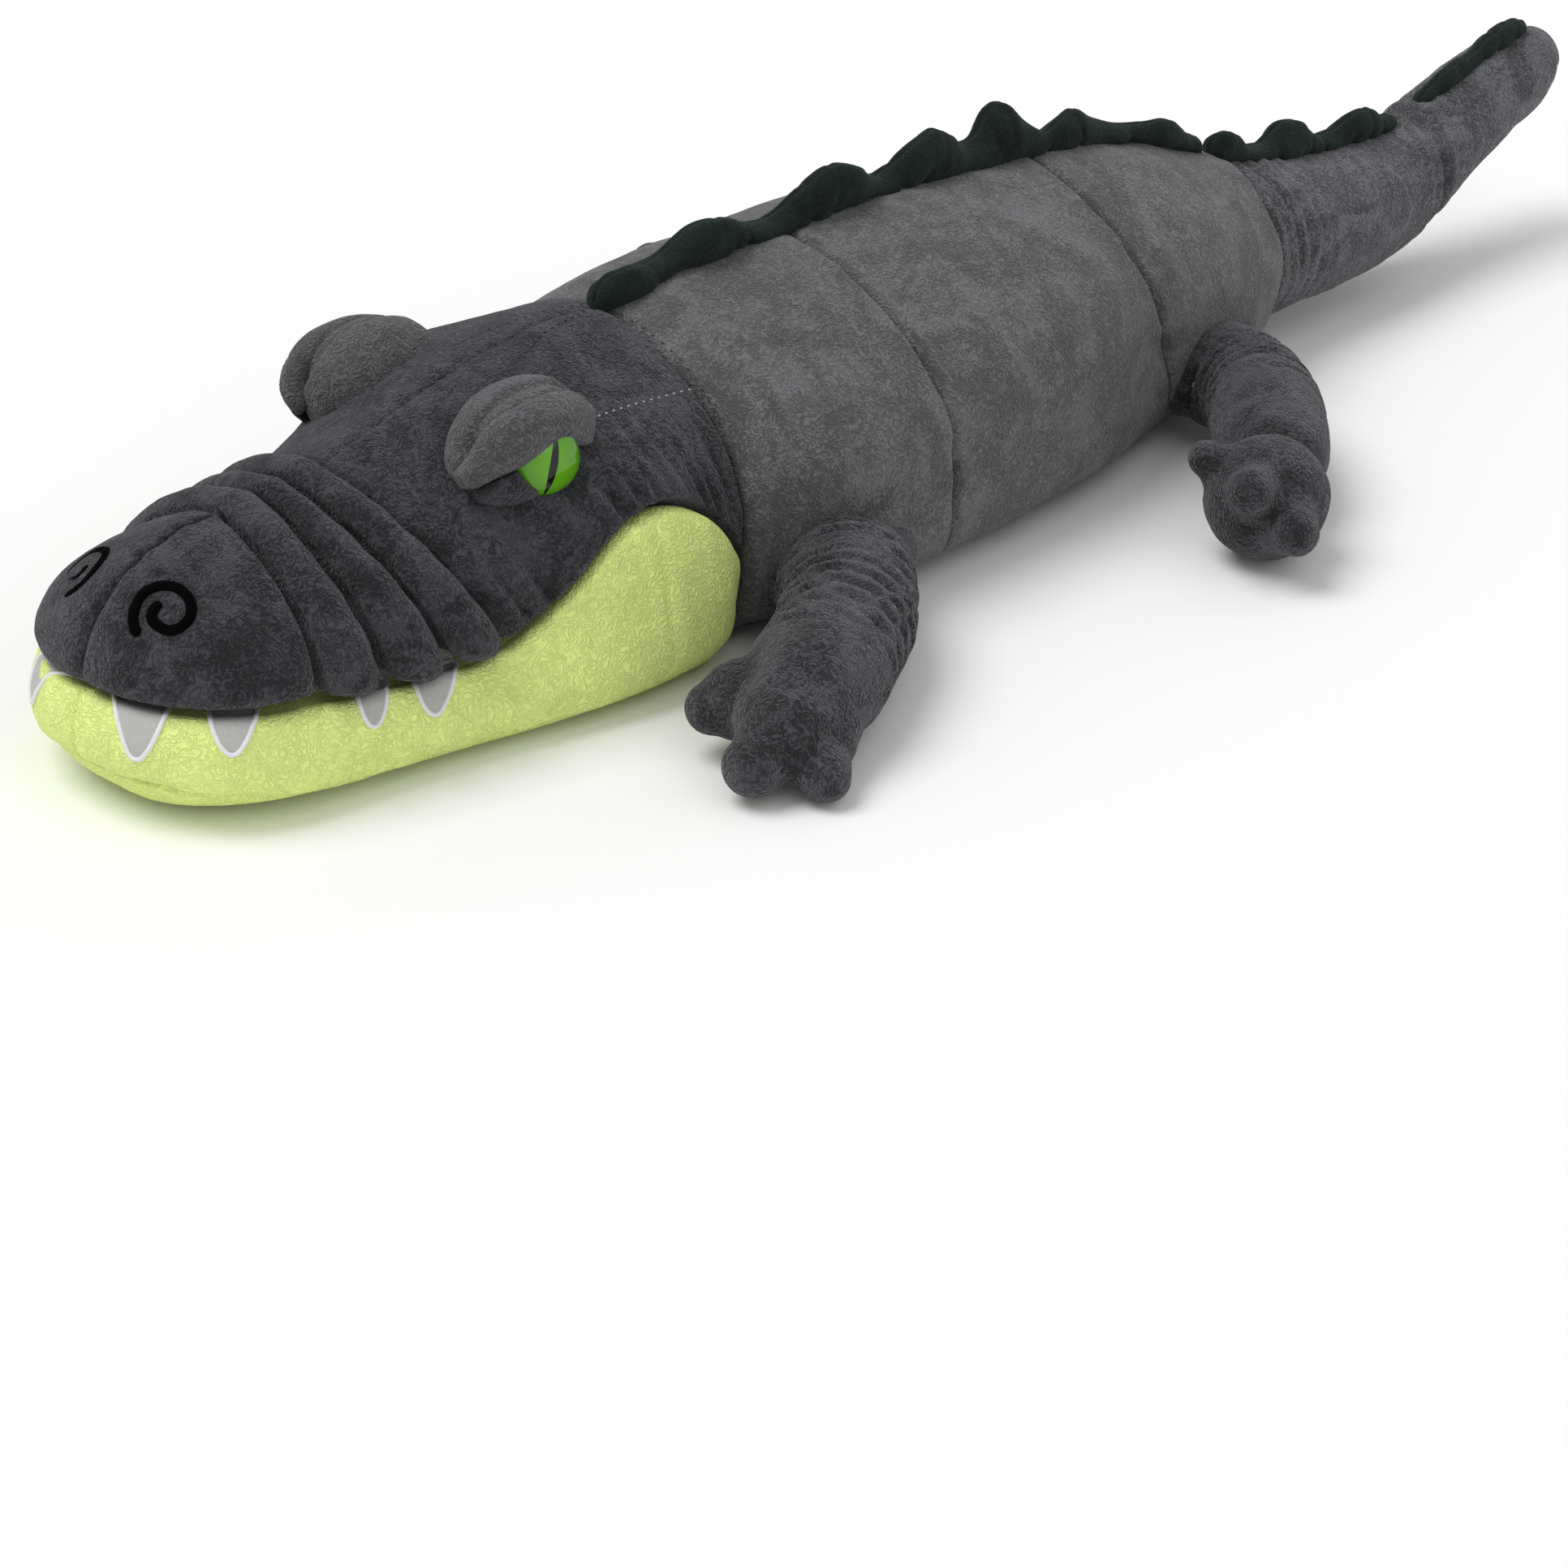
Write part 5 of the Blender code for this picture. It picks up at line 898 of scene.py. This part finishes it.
for name, leg in LEGS.items():
    path = even(through(leg["path"], 200), LEG_STATIONS)
    wide, tall = through(leg["wide"], LEG_STATIONS), through(leg["tall"], LEG_STATIONS)
    radius, height = leg["disc"]
    parts = [tube(path, wide, tall), ball(path[-1], (wide[-1], wide[-1], tall[-1])),
             ball(leg["root"], (radius, radius, height))]
    parts += [ball(centre, (size, size, size)) for *centre, size in leg["pads"]]
    for base, tip, size in leg["toes"]:
        taper = np.linspace(*TOE_TAPER, TOE_STATIONS) * size
        parts.append(tube(np.linspace(base, tip, TOE_STATIONS), taper, taper))
        parts.append(ball(tip, (size, size, size * TOE_HEIGHT)))
    places, normal, faces = remeshed(name, parts, FILLING_VOXEL, FILLING_SMOOTHING)
    places += normal * (FILLING_LUMPS * noise(places, 0.03, FILLING_SEED) - FILLING_INSET)[:, None]
    build(name + "_stuffing_fibre", mirrored(press(places, FILLING_LOWEST), leg["mirror"]), faces, STUFFING,
          body=name, replaces=(name + "_stuffing",), slot="stuffing_white", fill=0.9)
    places, normal, faces = remeshed(name, parts, SKIN_VOXEL, SKIN_SMOOTHING)
    # Ring folds, by how far along the leg each point is
    seed = leg["seed"]
    gap = np.linalg.norm(places[:, None, :] - path[None, ::2, :], axis=2)
    step = np.linalg.norm(np.diff(path, axis=0), axis=1).mean()
    run = gap.argmin(1) * 2 * step + LEG_FOLD_WANDER * noise(places, 0.045, seed)
    ring = np.abs(np.sin(math.pi * (run / LEG_FOLD_PITCH + 0.4 * noise(places, 0.040, seed + 1)))) ** 0.6
    first, last = leg["wrinkles"]
    strength = np.clip((run - first) / LEG_FOLD_START, 0, 1) * np.clip((last - run) / LEG_FOLD_END, 0, 1)
    down = LEG_FOLD_DEPTH * strength * (1 - ring) * (0.75 + 0.5 * noise(places, 0.04, seed + 4))
    # Drawn-in folds where the toes leave the foot
    for base, tip, size in leg["toes"]:
        way = unit(np.array(tip) - base)
        depth = (places - (tip - way * size * 0.9)) @ way
        off = np.linalg.norm((places - base) - np.outer((places - base) @ way, way), axis=1)
        down += TOE_FOLD_DEPTH * np.exp(-((depth / TOE_FOLD_WIDTH) ** 2)) * np.clip(1.7 - off / size, 0, 1)
    places = press(displaced(places, normal, seed + 7, down), SKIN_LOWEST)
    build(name + "_skin", mirrored(places, leg["mirror"]), faces, LEG_GREY, body=name, replaces=(name,),
          slot="leg_grey")

# The crest: padded lobes along the back, the tail and its tip
CREST_STEP, CREST_SUNK, CREST_ROUNDING, CREST_LOWEST = 0.0020, 0.006, 0.007, 0.004
CREST_THICKNESS, CREST_SPREAD = 0.0090, 0.22
CREST_FOLD_DEPTH, CREST_FOLD_PITCH, CREST_TOP_SEAM = 0.0042, 0.016, 0.0016
BACK_TO_TAIL, BACK_TO_TAIL_LENGTH = 0.340, 0.03


def back_top(y):
    """The height of the animal's back."""
    body = spline(BODY[:, 0], BODY[:, 2], np.clip(y, BODY[0, 0], BODY[-1, 0]))
    tail = spline(TAIL[:, 0], TAIL[:, 1] + TAIL[:, 2], np.clip(y, TAIL[0, 0], TAIL[-1, 0]))
    share = np.clip((y - BACK_TO_TAIL) / BACK_TO_TAIL_LENGTH, 0, 1)
    return float(body * (1 - share) + tail * share)


def crest(name, knots, seed, body, replaces):
    """Knots are places along the back with the crest's height there and how far it leans over."""
    knots = np.array(knots)
    places = np.arange(knots[0, 0], knots[-1, 0] + CREST_STEP / 2, CREST_STEP)
    height, lean = spline(knots[:, 0], knots[:, 1:], places).T
    turn = circle(32)
    up = (np.sin(turn) + 1) / 2
    rows = []
    for index, y in enumerate(places):
        end = min(index, len(places) - 1 - index) * CREST_STEP
        rounding = math.sqrt(max(0.02, 1 - (1 - min(1, end / CREST_ROUNDING)) ** 2))
        tall = max(height[index], CREST_LOWEST) * rounding + CREST_SUNK
        thick = (CREST_THICKNESS + CREST_SPREAD * height[index]) * rounding
        x = np.cos(turn) * thick * (0.55 + 0.45 * (1 - up)) ** 0.6 + lean[index] * up**1.6
        rows.append(np.stack([x, np.full_like(x, y), back_top(y) - CREST_SUNK + tall * up], 1))
    grid = np.array(rows)
    z = grid[..., 2]
    rise = (z - z.min(1, keepdims=True)) / (np.ptp(z, axis=1)[:, None] + 1e-6)
    folds = np.abs(noise_of(grid[..., 1] / CREST_FOLD_PITCH, z / 0.05, grid[..., 0] * 30, seed=seed))
    down = CREST_FOLD_DEPTH * (1 - folds) ** 3 * np.clip(1.1 - rise, 0.35, 1)
    down += CREST_TOP_SEAM * np.exp(-((np.cos(turn) / 0.20) ** 2)) * (np.sin(turn) > 0)
    grid = displaced(grid, outward(grid, True), seed + 1, down, 0.7)
    return sheet(name, grid, CREST_GREEN, around=True, seal_at="ends", body=body, replaces=replaces,
                 slot="crest_green")


crest("crest_back_lobes", (
    (-0.203, 0.012, 0.000), (-0.194, 0.018, 0.003), (-0.180, 0.019, 0.006), (-0.162, 0.014, 0.002),
    (-0.148, 0.013, -0.002), (-0.128, 0.025, 0.004), (-0.112, 0.027, 0.010), (-0.098, 0.023, 0.008),
    (-0.075, 0.012, 0.000), (-0.058, 0.011, -0.003), (-0.035, 0.024, 0.003), (-0.014, 0.033, 0.008),
    (0.004, 0.027, 0.009), (0.024, 0.013, 0.000), (0.040, 0.012, -0.004), (0.060, 0.025, 0.002),
    (0.078, 0.032, 0.004), (0.092, 0.025, 0.002), (0.106, 0.015, -0.003), (0.120, 0.017, -0.004),
    (0.136, 0.033, -0.006), (0.148, 0.034, -0.004), (0.160, 0.022, 0.000), (0.176, 0.012, 0.004),
    (0.192, 0.018, 0.004), (0.208, 0.023, 0.000), (0.226, 0.015, -0.002), (0.250, 0.010, 0.000),
    (0.275, 0.013, 0.003), (0.300, 0.018, 0.004), (0.320, 0.012, 0.000), (0.338, 0.010, 0.000),
), 121, "torso", ("crest_back",))
crest_tail = crest("crest_tail_lobes", (
    (0.344, 0.008, 0.000), (0.356, 0.018, 0.002), (0.368, 0.019, 0.003), (0.384, 0.009, 0.000),
    (0.404, 0.010, -0.003), (0.424, 0.023, -0.002), (0.438, 0.024, 0.002), (0.454, 0.012, 0.002),
    (0.474, 0.010, 0.000), (0.496, 0.020, 0.003), (0.514, 0.021, 0.003), (0.532, 0.010, 0.000),
    (0.548, 0.007, 0.000),
), 131, None, ("crest_tail",))
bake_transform(crest_tail)
crest_tip = crest("crest_tip_lobes", (
    (0.572, 0.006, 0.000), (0.592, 0.013, 0.003), (0.612, 0.014, 0.004), (0.630, 0.010, 0.002),
    (0.655, 0.014, 0.005), (0.676, 0.010, 0.004), (0.688, 0.005, 0.002),
), 141, None, ("crest_tail_tip",))
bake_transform(crest_tip)

# Eye mounds, lids and eyes


def edge_distance(point, a, b):
    """The distance from a point to the nearest of the edges from a to b."""
    way = b - a
    t = np.clip(((point - a) * way).sum(1) / np.maximum((way * way).sum(1), TINY), 0, 1)
    return np.linalg.norm(a + way * t[:, None] - point, axis=1).min()


def padded_outline(outline, thickness, back, spacing=0.0022, edge_radius=None, creases=()):
    """A flat outline filled with points and puffed up on both sides: (u, v, w) places and faces."""
    outline = even(outline, max(24, int(length([*outline, outline[0]]) / spacing)), closed=True)
    low, high = outline.min(0), outline.max(0)
    a, b = outline, np.roll(outline, -1, 0)
    inside = []
    for u in np.arange(low[0], high[0], spacing):
        for v in np.arange(low[1], high[1], spacing):
            crossed = (a[:, 1] > v) != (b[:, 1] > v)
            rise = np.where(crossed, b[:, 1] - a[:, 1], 1)
            hit = crossed & (u < (b[:, 0] - a[:, 0]) * (v - a[:, 1]) / rise + a[:, 0])
            if hit.sum() % 2 and edge_distance(np.array((u, v)), a, b) > spacing / 2:
                inside.append((u, v))
    count = len(outline)
    edges = [(i, (i + 1) % count) for i in range(count)]
    points = [Vector(p) for p in np.vstack([outline, inside])]
    flat, _, faces, *_ = delaunay_2d_cdt(points, edges, [], 1, 1e-7)
    flat = np.array([tuple(p) for p in flat])
    depth = np.array([edge_distance(p, a, b) for p in flat])
    share = np.clip(depth / (edge_radius or depth.max()), 0, 1)
    puff = np.sqrt(np.clip(1 - (1 - share) ** 2, 0, 1))
    for line, width, drop in creases:
        gap = np.array([edge_distance(p, line[:-1], line[1:]) for p in flat])
        puff = puff - drop * np.exp(-((gap / width) ** 2)) * share
    front = np.column_stack([flat, thickness * puff])
    rear = np.column_stack([flat, -thickness * back * puff])
    own = np.arange(len(flat))
    remap = np.where(depth < 1e-6, own, own + len(flat))
    both = [list(f) for f in faces] + [[int(remap[i]) for i in f[::-1]] for f in faces]
    return np.vstack([front, rear]), both


MOUND_AT, MOUND_SIZE = np.array((0.0620, -0.3141, 0.1522)), np.array((0.031, 0.047, 0.0375))
MOUND_GROOVE_DEPTH, MOUND_GROOVE_WIDTH = 0.0030, 0.055
LID_AT, LID_SIZE = MOUND_AT + np.array((0.0, 0.0, -0.0030)), np.array((0.0320, 0.0500, 0.0400))
NEAR_EYE_PIXEL = (650, 540)
PIXEL = DISTANCE / FOCAL_PIXELS * 0.955           # a pixel at the near eye, in metres
UPPER_LID_PIXELS = (
    (566, 602), (557, 584), (575, 562), (592, 533), (612, 513), (640, 498), (672, 484), (700, 480), (718, 486),
    (732, 502), (742, 522), (743, 542), (736, 553), (724, 550), (708, 549), (690, 552), (668, 562), (640, 577),
    (610, 590), (586, 603))
LID_CREASE_PIXELS = ((604, 556), (632, 540), (664, 527), (694, 521), (718, 522))
LOWER_LID_PIXELS = ((578, 606), (600, 597), (622, 587), (638, 580), (648, 590), (662, 599), (677, 603), (660, 616),
                    (638, 625), (620, 627), (600, 624), (586, 617))


def lid_places(pixels):
    """Pixels of the photograph as metres across and up from the near eye."""
    return np.array([((px - NEAR_EYE_PIXEL[0]) * PIXEL, (NEAR_EYE_PIXEL[1] - py) * PIXEL) for px, py in pixels])


def lid_world(places, lift):
    """Puts (u, v, w) in front of the mound where the camera sees (u, v)."""
    found = []
    for u, v, w in places:
        ray = pixel_ray(NEAR_EYE_PIXEL[0] + u / PIXEL, NEAR_EYE_PIXEL[1] - v / PIXEL)
        start, way = (EYE_POINT - LID_AT) / LID_SIZE, ray / LID_SIZE
        a, b, c = way @ way, start @ way, start @ start - 1
        t = (-b - math.sqrt(max(b * b - a * c, 0.0))) / a
        found.append(EYE_POINT + ray * (t - w - lift))
    return np.array(found)


LID_CREASE = (lid_places(LID_CREASE_PIXELS), 0.0020, 0.24)
LIDS = (
    ("upper", *padded_outline(lid_places(UPPER_LID_PIXELS), 0.0095, 1.1, creases=(LID_CREASE,)), 0.0040, 161, LID_GREY),
    ("lower", *padded_outline(lid_places(LOWER_LID_PIXELS), 0.0090, 1.0), 0.0010, 162, CHARCOAL),
)
unit_ball = sphere(np.linspace(-QUARTER, QUARTER, 61), circle(96))
for side, word in SIDES:
    mound = MOUND_AT + unit_ball * MOUND_SIZE
    groove = np.abs(unit_ball[..., 0] * 0.62 + unit_ball[..., 2] * 0.42 - 0.55 + 0.25 * unit_ball[..., 1] ** 2)
    mound = displaced(mound, unit_ball, 151, MOUND_GROOVE_DEPTH * np.exp(-((groove / MOUND_GROOVE_WIDTH) ** 2)))
    sheet("eye_mound_skin_" + word, mirrored(mound, side), LID_GREY, around=True,
          replaces=("eye_mound_" + word,), slot="charcoal", fill=0.85)
    for label, places, faces, lift, seed, material in LIDS:
        lid = lid_world(places, lift)
        lid = lid + np.outer(soft(lid, seed, 0.7), LOOK)
        build("{}_lid_skin_{}".format(label, word), mirrored(lid, side), faces, material,
              replaces=("{}_lid_{}".format(label, word),), slot="charcoal", fill=0.7)

EYE_AT, EYE_AIM = np.array((0.0895, -0.3190, 0.1530)), unit(np.array((0.93, -0.28, 0.10)))
EYE_RADIUS, EYE_BULGE, EYE_RIM = 0.021, 0.0125, 0.010
EYE_RINGS, EYE_SIDES = 25, 64
SLIT_HALF_HEIGHT, SLIT_HALF_WIDTH, SLIT_LEAN = 0.0190, 0.0025, 0.26
SLIT_COLOR = (0.004, 0.004, 0.005, 1)
IRIS = ((0.35, (0.120, 0.360, 0.008)), (0.98, (0.016, 0.090, 0.003)), (0.80, (0.085, 0.300, 0.006)))

eye_material, tree, shader = new_material("eye_plastic", Roughness=0.07, Coat_Weight=0.35, Specular_IOR_Level=0.25,
                                          Coat_Roughness=0.03)
split = tree.nodes.new("ShaderNodeSeparateXYZ")
tree.links.new(tree.nodes.new("ShaderNodeTexCoord").outputs["Object"], split.inputs["Vector"])
across, up = split.outputs["Y"], split.outputs["Z"]
share_up = math_node(tree, "DIVIDE", up, SLIT_HALF_HEIGHT)
narrowing = math_node(tree, "SUBTRACT", 1.0, math_node(tree, "MULTIPLY", share_up, share_up))
width = math_node(tree, "MULTIPLY", narrowing, SLIT_HALF_WIDTH)
leaning = math_node(tree, "SUBTRACT", across, math_node(tree, "MULTIPLY", up, SLIT_LEAN))
slit = math_node(tree, "LESS_THAN", math_node(tree, "ABSOLUTE", leaning), width)
out = math_node(tree, "POWER", weighted(tree, (across, across), (up, up)), 0.5)
mix = tree.nodes.new("ShaderNodeMix")
mix.data_type = "RGBA"
tree.links.new(slit, mix.inputs[0])
tree.links.new(ramp(tree, math_node(tree, "DIVIDE", out, EYE_RADIUS), *IRIS), mix.inputs[6])
mix.inputs[7].default_value = SLIT_COLOR
tree.links.new(mix.outputs[2], shader.inputs["Base Color"])

rise = np.linspace(0, QUARTER, EYE_RINGS)
dome = np.array([[(EYE_BULGE * math.sin(r), EYE_RADIUS * math.cos(r) * math.cos(t),
                   EYE_RADIUS * math.cos(r) * math.sin(t)) for t in circle(EYE_SIDES)] for r in rise])
dome = np.concatenate([dome[:1] - np.array((EYE_RIM, 0, 0)), dome])
for side, word in SIDES:
    eye = sheet("eye_dome_" + word, dome, eye_material, around=True, seal_at="ends", body=None,
                replaces=("eye_" + word,), fill=None, slot="eye_green")
    aim = mirrored(EYE_AIM, side)
    level = unit(np.cross(UPWARDS, aim))
    turned(eye, (aim, level, np.cross(aim, level)), mirrored(EYE_AT, side))
    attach(eye, "torso")

# Nostrils, teeth and stitches, placed by the photograph's pixels on the near side and mirrored


def satin_cord(spots, ways, normals, lift, wide, tall, ripple, sides, ends=None):
    """A satin-stitched cord laid on a surface, rippled by its threads and thinner at its ends."""
    turn = circle(sides)
    rows = []
    for index, (spot, way, normal) in enumerate(zip(spots, ways, normals)):
        across = unit(np.cross(way, normal))
        thin = 1.0 if ends is None else ends[index]
        thread = 1 + ripple * math.cos(math.pi * index)
        rows.append(spot + normal * lift + np.outer(np.cos(turn) * wide * thin, across)
                    + np.outer(np.sin(turn) * tall * thin * thread, normal))
    return rows


nose_tree, jaw_tree = tree_of(nose_parts), tree_of(jaw_parts[:1])
NOSTRIL_PIXELS = ((170, 784), (165, 770), (165, 756), (170, 742), (177, 732), (188, 725), (201, 722), (216, 724),
                  (228, 732), (234, 741), (236, 750), (234, 761), (228, 769), (219, 775), (209, 777), (199, 774),
                  (190, 767), (187, 760), (189, 753), (194, 747), (200, 745))
NOSTRIL_STATIONS, NOSTRIL_END = 120, 4
spots = even(through([cast(nose_tree, *pixel)[0] for pixel in NOSTRIL_PIXELS], 300), NOSTRIL_STATIONS)
facing = np.array([nose_tree.find_nearest(Vector(spot))[1] for spot in spots])
facing = facing * np.where(facing @ LOOK < 0, -1, 1)[:, None]
station = np.arange(NOSTRIL_STATIONS)
ends = np.clip((np.minimum(station, station[::-1]) + 0.15) / NOSTRIL_END, 0, 1)
cord = satin_cord(spots, np.gradient(spots, axis=0), facing, 0.0004, 0.0030, 0.0022, 0.10, 16,
                  np.sqrt(1 - (1 - ends) ** 2))
for side, word in SIDES:
    sheet("nostril_stitching_" + word, mirrored(cord, side), THREAD, around=True, seal_at="ends",
          replaces=("nostril_" + word,), slot="thread_black", fill=None)

TOOTH_PIXELS = (
    ((139, 850), (143, 872), (149, 900), (157, 924), (166, 935), (176, 933), (188, 916), (199, 893), (209, 871),
     (212, 860), (175, 852)),
    ((256, 872), (261, 895), (270, 917), (281, 929), (291, 929), (301, 917), (310, 897), (316, 874), (286, 870)),
    ((436, 842), (441, 864), (448, 884), (457, 895), (466, 892), (473, 876), (476, 856), (475, 838), (456, 840)),
    ((506, 826), (512, 848), (521, 869), (531, 880), (541, 878), (552, 858), (559, 836), (561, 816), (534, 822)),
)
TOOTH_LIFT, TOOTH_PUFF = 0.0003, 0.0006
TOOTH_PIXEL_STEP, TOOTH_EDGE_PIXELS = 2.0, 3.0

for number, pixels in enumerate(TOOTH_PIXELS, 1):
    outline = even(through([*pixels, pixels[0]], 80), 64)[:-1]
    flat, faces = padded_outline(outline, 1.0, 0.2, spacing=TOOTH_PIXEL_STEP, edge_radius=TOOTH_EDGE_PIXELS)
    # Where the ray misses the jaw, a spot goes on the plane through the last place found
    last = np.array((0.09, -0.5, 0.05))
    spots = []
    for u, v, w in flat:
        found = cast(jaw_tree, u, v)
        last = found[0] if found else last
        spot, way = found or (on_plane(u, v, last, LOOK), LOOK)
        spots.append(spot + way * (TOOTH_LIFT + TOOTH_PUFF * w))
    rim, rim_way = (np.array(part) for part in zip(*[cast(jaw_tree, *p) or (spots[0], LOOK) for p in outline]))
    border = satin_cord(rim, np.roll(rim, -1, 0) - np.roll(rim, 1, 0), rim_way, 0.0006, 0.0014, 0.0013, 0.12, 12)
    border.append(border[0])
    for side, word in SIDES:
        build("tooth_felt_{}_{}".format(word, number), mirrored(spots, side), faces, FELT,
              replaces=("tooth_{}_{}".format(word, number),), slot="tooth_white", fill=None)
        sheet("tooth_border_{}_{}".format(word, number), mirrored(border, side), SATIN, around=True,
              slot="tooth_white", fill=None)

STITCH_LENGTH, STITCH_HEIGHT = 1.9, 0.8                 # in its half widths


def stitches(name, tree, pixels, spacing, size, material):
    """Short raised threads along a seam that the camera sees, on both sides of the animal."""
    path = even(through(pixels, 200), int(length(pixels) / spacing) + 1)
    found = [hit for hit in (cast(tree, *point) for point in path) if hit]
    assert len(found) > 2, name
    bead, bead_faces = ball((0, 0, 0), (1, 1, 1), 10, 6)
    threads = []
    for (spot, normal), way in zip(found, unit(np.gradient(np.array([spot for spot, _ in found]), axis=0))):
        axes = np.array((way * STITCH_LENGTH, unit(np.cross(way, normal)), normal * STITCH_HEIGHT)) * size
        threads.append((spot + bead @ axes, bead_faces))
    places, faces = joined(threads)
    for side, word in SIDES:
        build("{}_{}".format(name, word), mirrored(places, side), faces, material, fill=None, slot="thread_black")


crown_parts = [bpy.data.objects["crown_left_skin"], bpy.data.objects["crown_right_skin"]]
crown_tree = tree_of(crown_parts)
neck_tree = tree_of([*crown_parts, bpy.data.objects["chest_section_skin"]])
for name, tree, pixels, spacing, size, material in (
    ("neck_seam_stitches", neck_tree,
     ((766, 388), (800, 410), (835, 440), (862, 475), (884, 515), (900, 560), (909, 610)), 15.0, 0.0006, DARK_STITCH),
    ("side_seam_stitches", crown_tree,
     ((738, 512), (775, 500), (815, 489), (845, 481), (868, 476)), 9.0, 0.00055, PALE_STITCH),
    ("crown_seam_stitches", crown_tree,
     ((560, 425), (600, 408), (640, 393), (680, 381), (716, 376)), 11.0, 0.0006, DARK_STITCH),
    ("nose_seam_stitches", nose_tree,
     ((214, 655), (186, 675), (163, 700), (143, 735), (128, 770), (114, 805), (106, 828)), 10.0, 0.0006, DARK_STITCH),
):
    stitches(name, tree, pixels, spacing, size, material)

# Fillings and washers inside
for name, body, inset in (("head_stuffing", "torso", 0.0135), ("body_stuffing", "torso", 0.0085),
                          ("tail_stuffing", "tail", 0.0080), ("tail_tip_stuffing", "tail_tip", 0.0075)):
    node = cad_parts[name].data
    form = ([tuple(v.co) for v in node.vertices], [list(p.vertices) for p in node.polygons])
    places, normal, faces = remeshed(name, [form], 0.009, 3)
    places += normal * (0.0018 * noise(places, 0.03, FILLING_SEED) - inset)[:, None]
    build(name + "_fibre", places, faces, STUFFING, body=body, replaces=(name,), slot="stuffing_white", fill=0.9)
for _, word in SIDES:
    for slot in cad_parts["eye_washer_" + word].material_slots:
        slot.material = WASHER

# Floor, background and light
FLOOR_HALF = 8
WORLD_LIGHT, WORLD_SEEN = 0.53, 1.0

floor_mesh = bpy.data.meshes.new("floor")
corners = [(x * FLOOR_HALF, y * FLOOR_HALF, 0) for x, y in ((-1, -1), (1, -1), (1, 1), (-1, 1))]
floor_mesh.from_pydata(corners, [], [(0, 1, 2, 3)])
floor = added("floor", floor_mesh)
floor_material, _, _ = new_material("floor", Base_Color=(0.94, 0.94, 0.94, 1), Roughness=0.9, Specular_IOR_Level=0.0)
floor_mesh.materials.append(floor_material)

world = bpy.data.worlds.new("world")
bpy.context.scene.world = world
world.use_nodes = True
tree = world.node_tree
background = tree.nodes["Background"]
background.inputs["Color"].default_value = (1, 1, 1, 1)
rays = tree.nodes.new("ShaderNodeLightPath").outputs
seen = math_node(tree, "MAXIMUM", rays["Is Camera Ray"], rays["Is Glossy Ray"])
seen = math_node(tree, "MAXIMUM", seen, rays["Is Transmission Ray"])
strength = math_node(tree, "ADD", math_node(tree, "MULTIPLY", seen, WORLD_SEEN - WORLD_LIGHT), WORLD_LIGHT)
tree.links.new(strength, background.inputs["Strength"])

for name, place, spread, energy in (("key", (-0.75, -1.0, 2.5), 38, 1.55), ("fill", (2.4, -0.2, 2.2), 60, 0.45)):
    data = bpy.data.lights.new(name, "SUN")
    data.angle = math.radians(spread)
    data.energy = energy
    lamp = added(name, data)
    lamp.location = place
    lamp.rotation_euler = (-Vector(place)).to_track_quat("-Z", "Y").to_euler()

bpy.context.scene.view_settings.view_transform = "Standard"
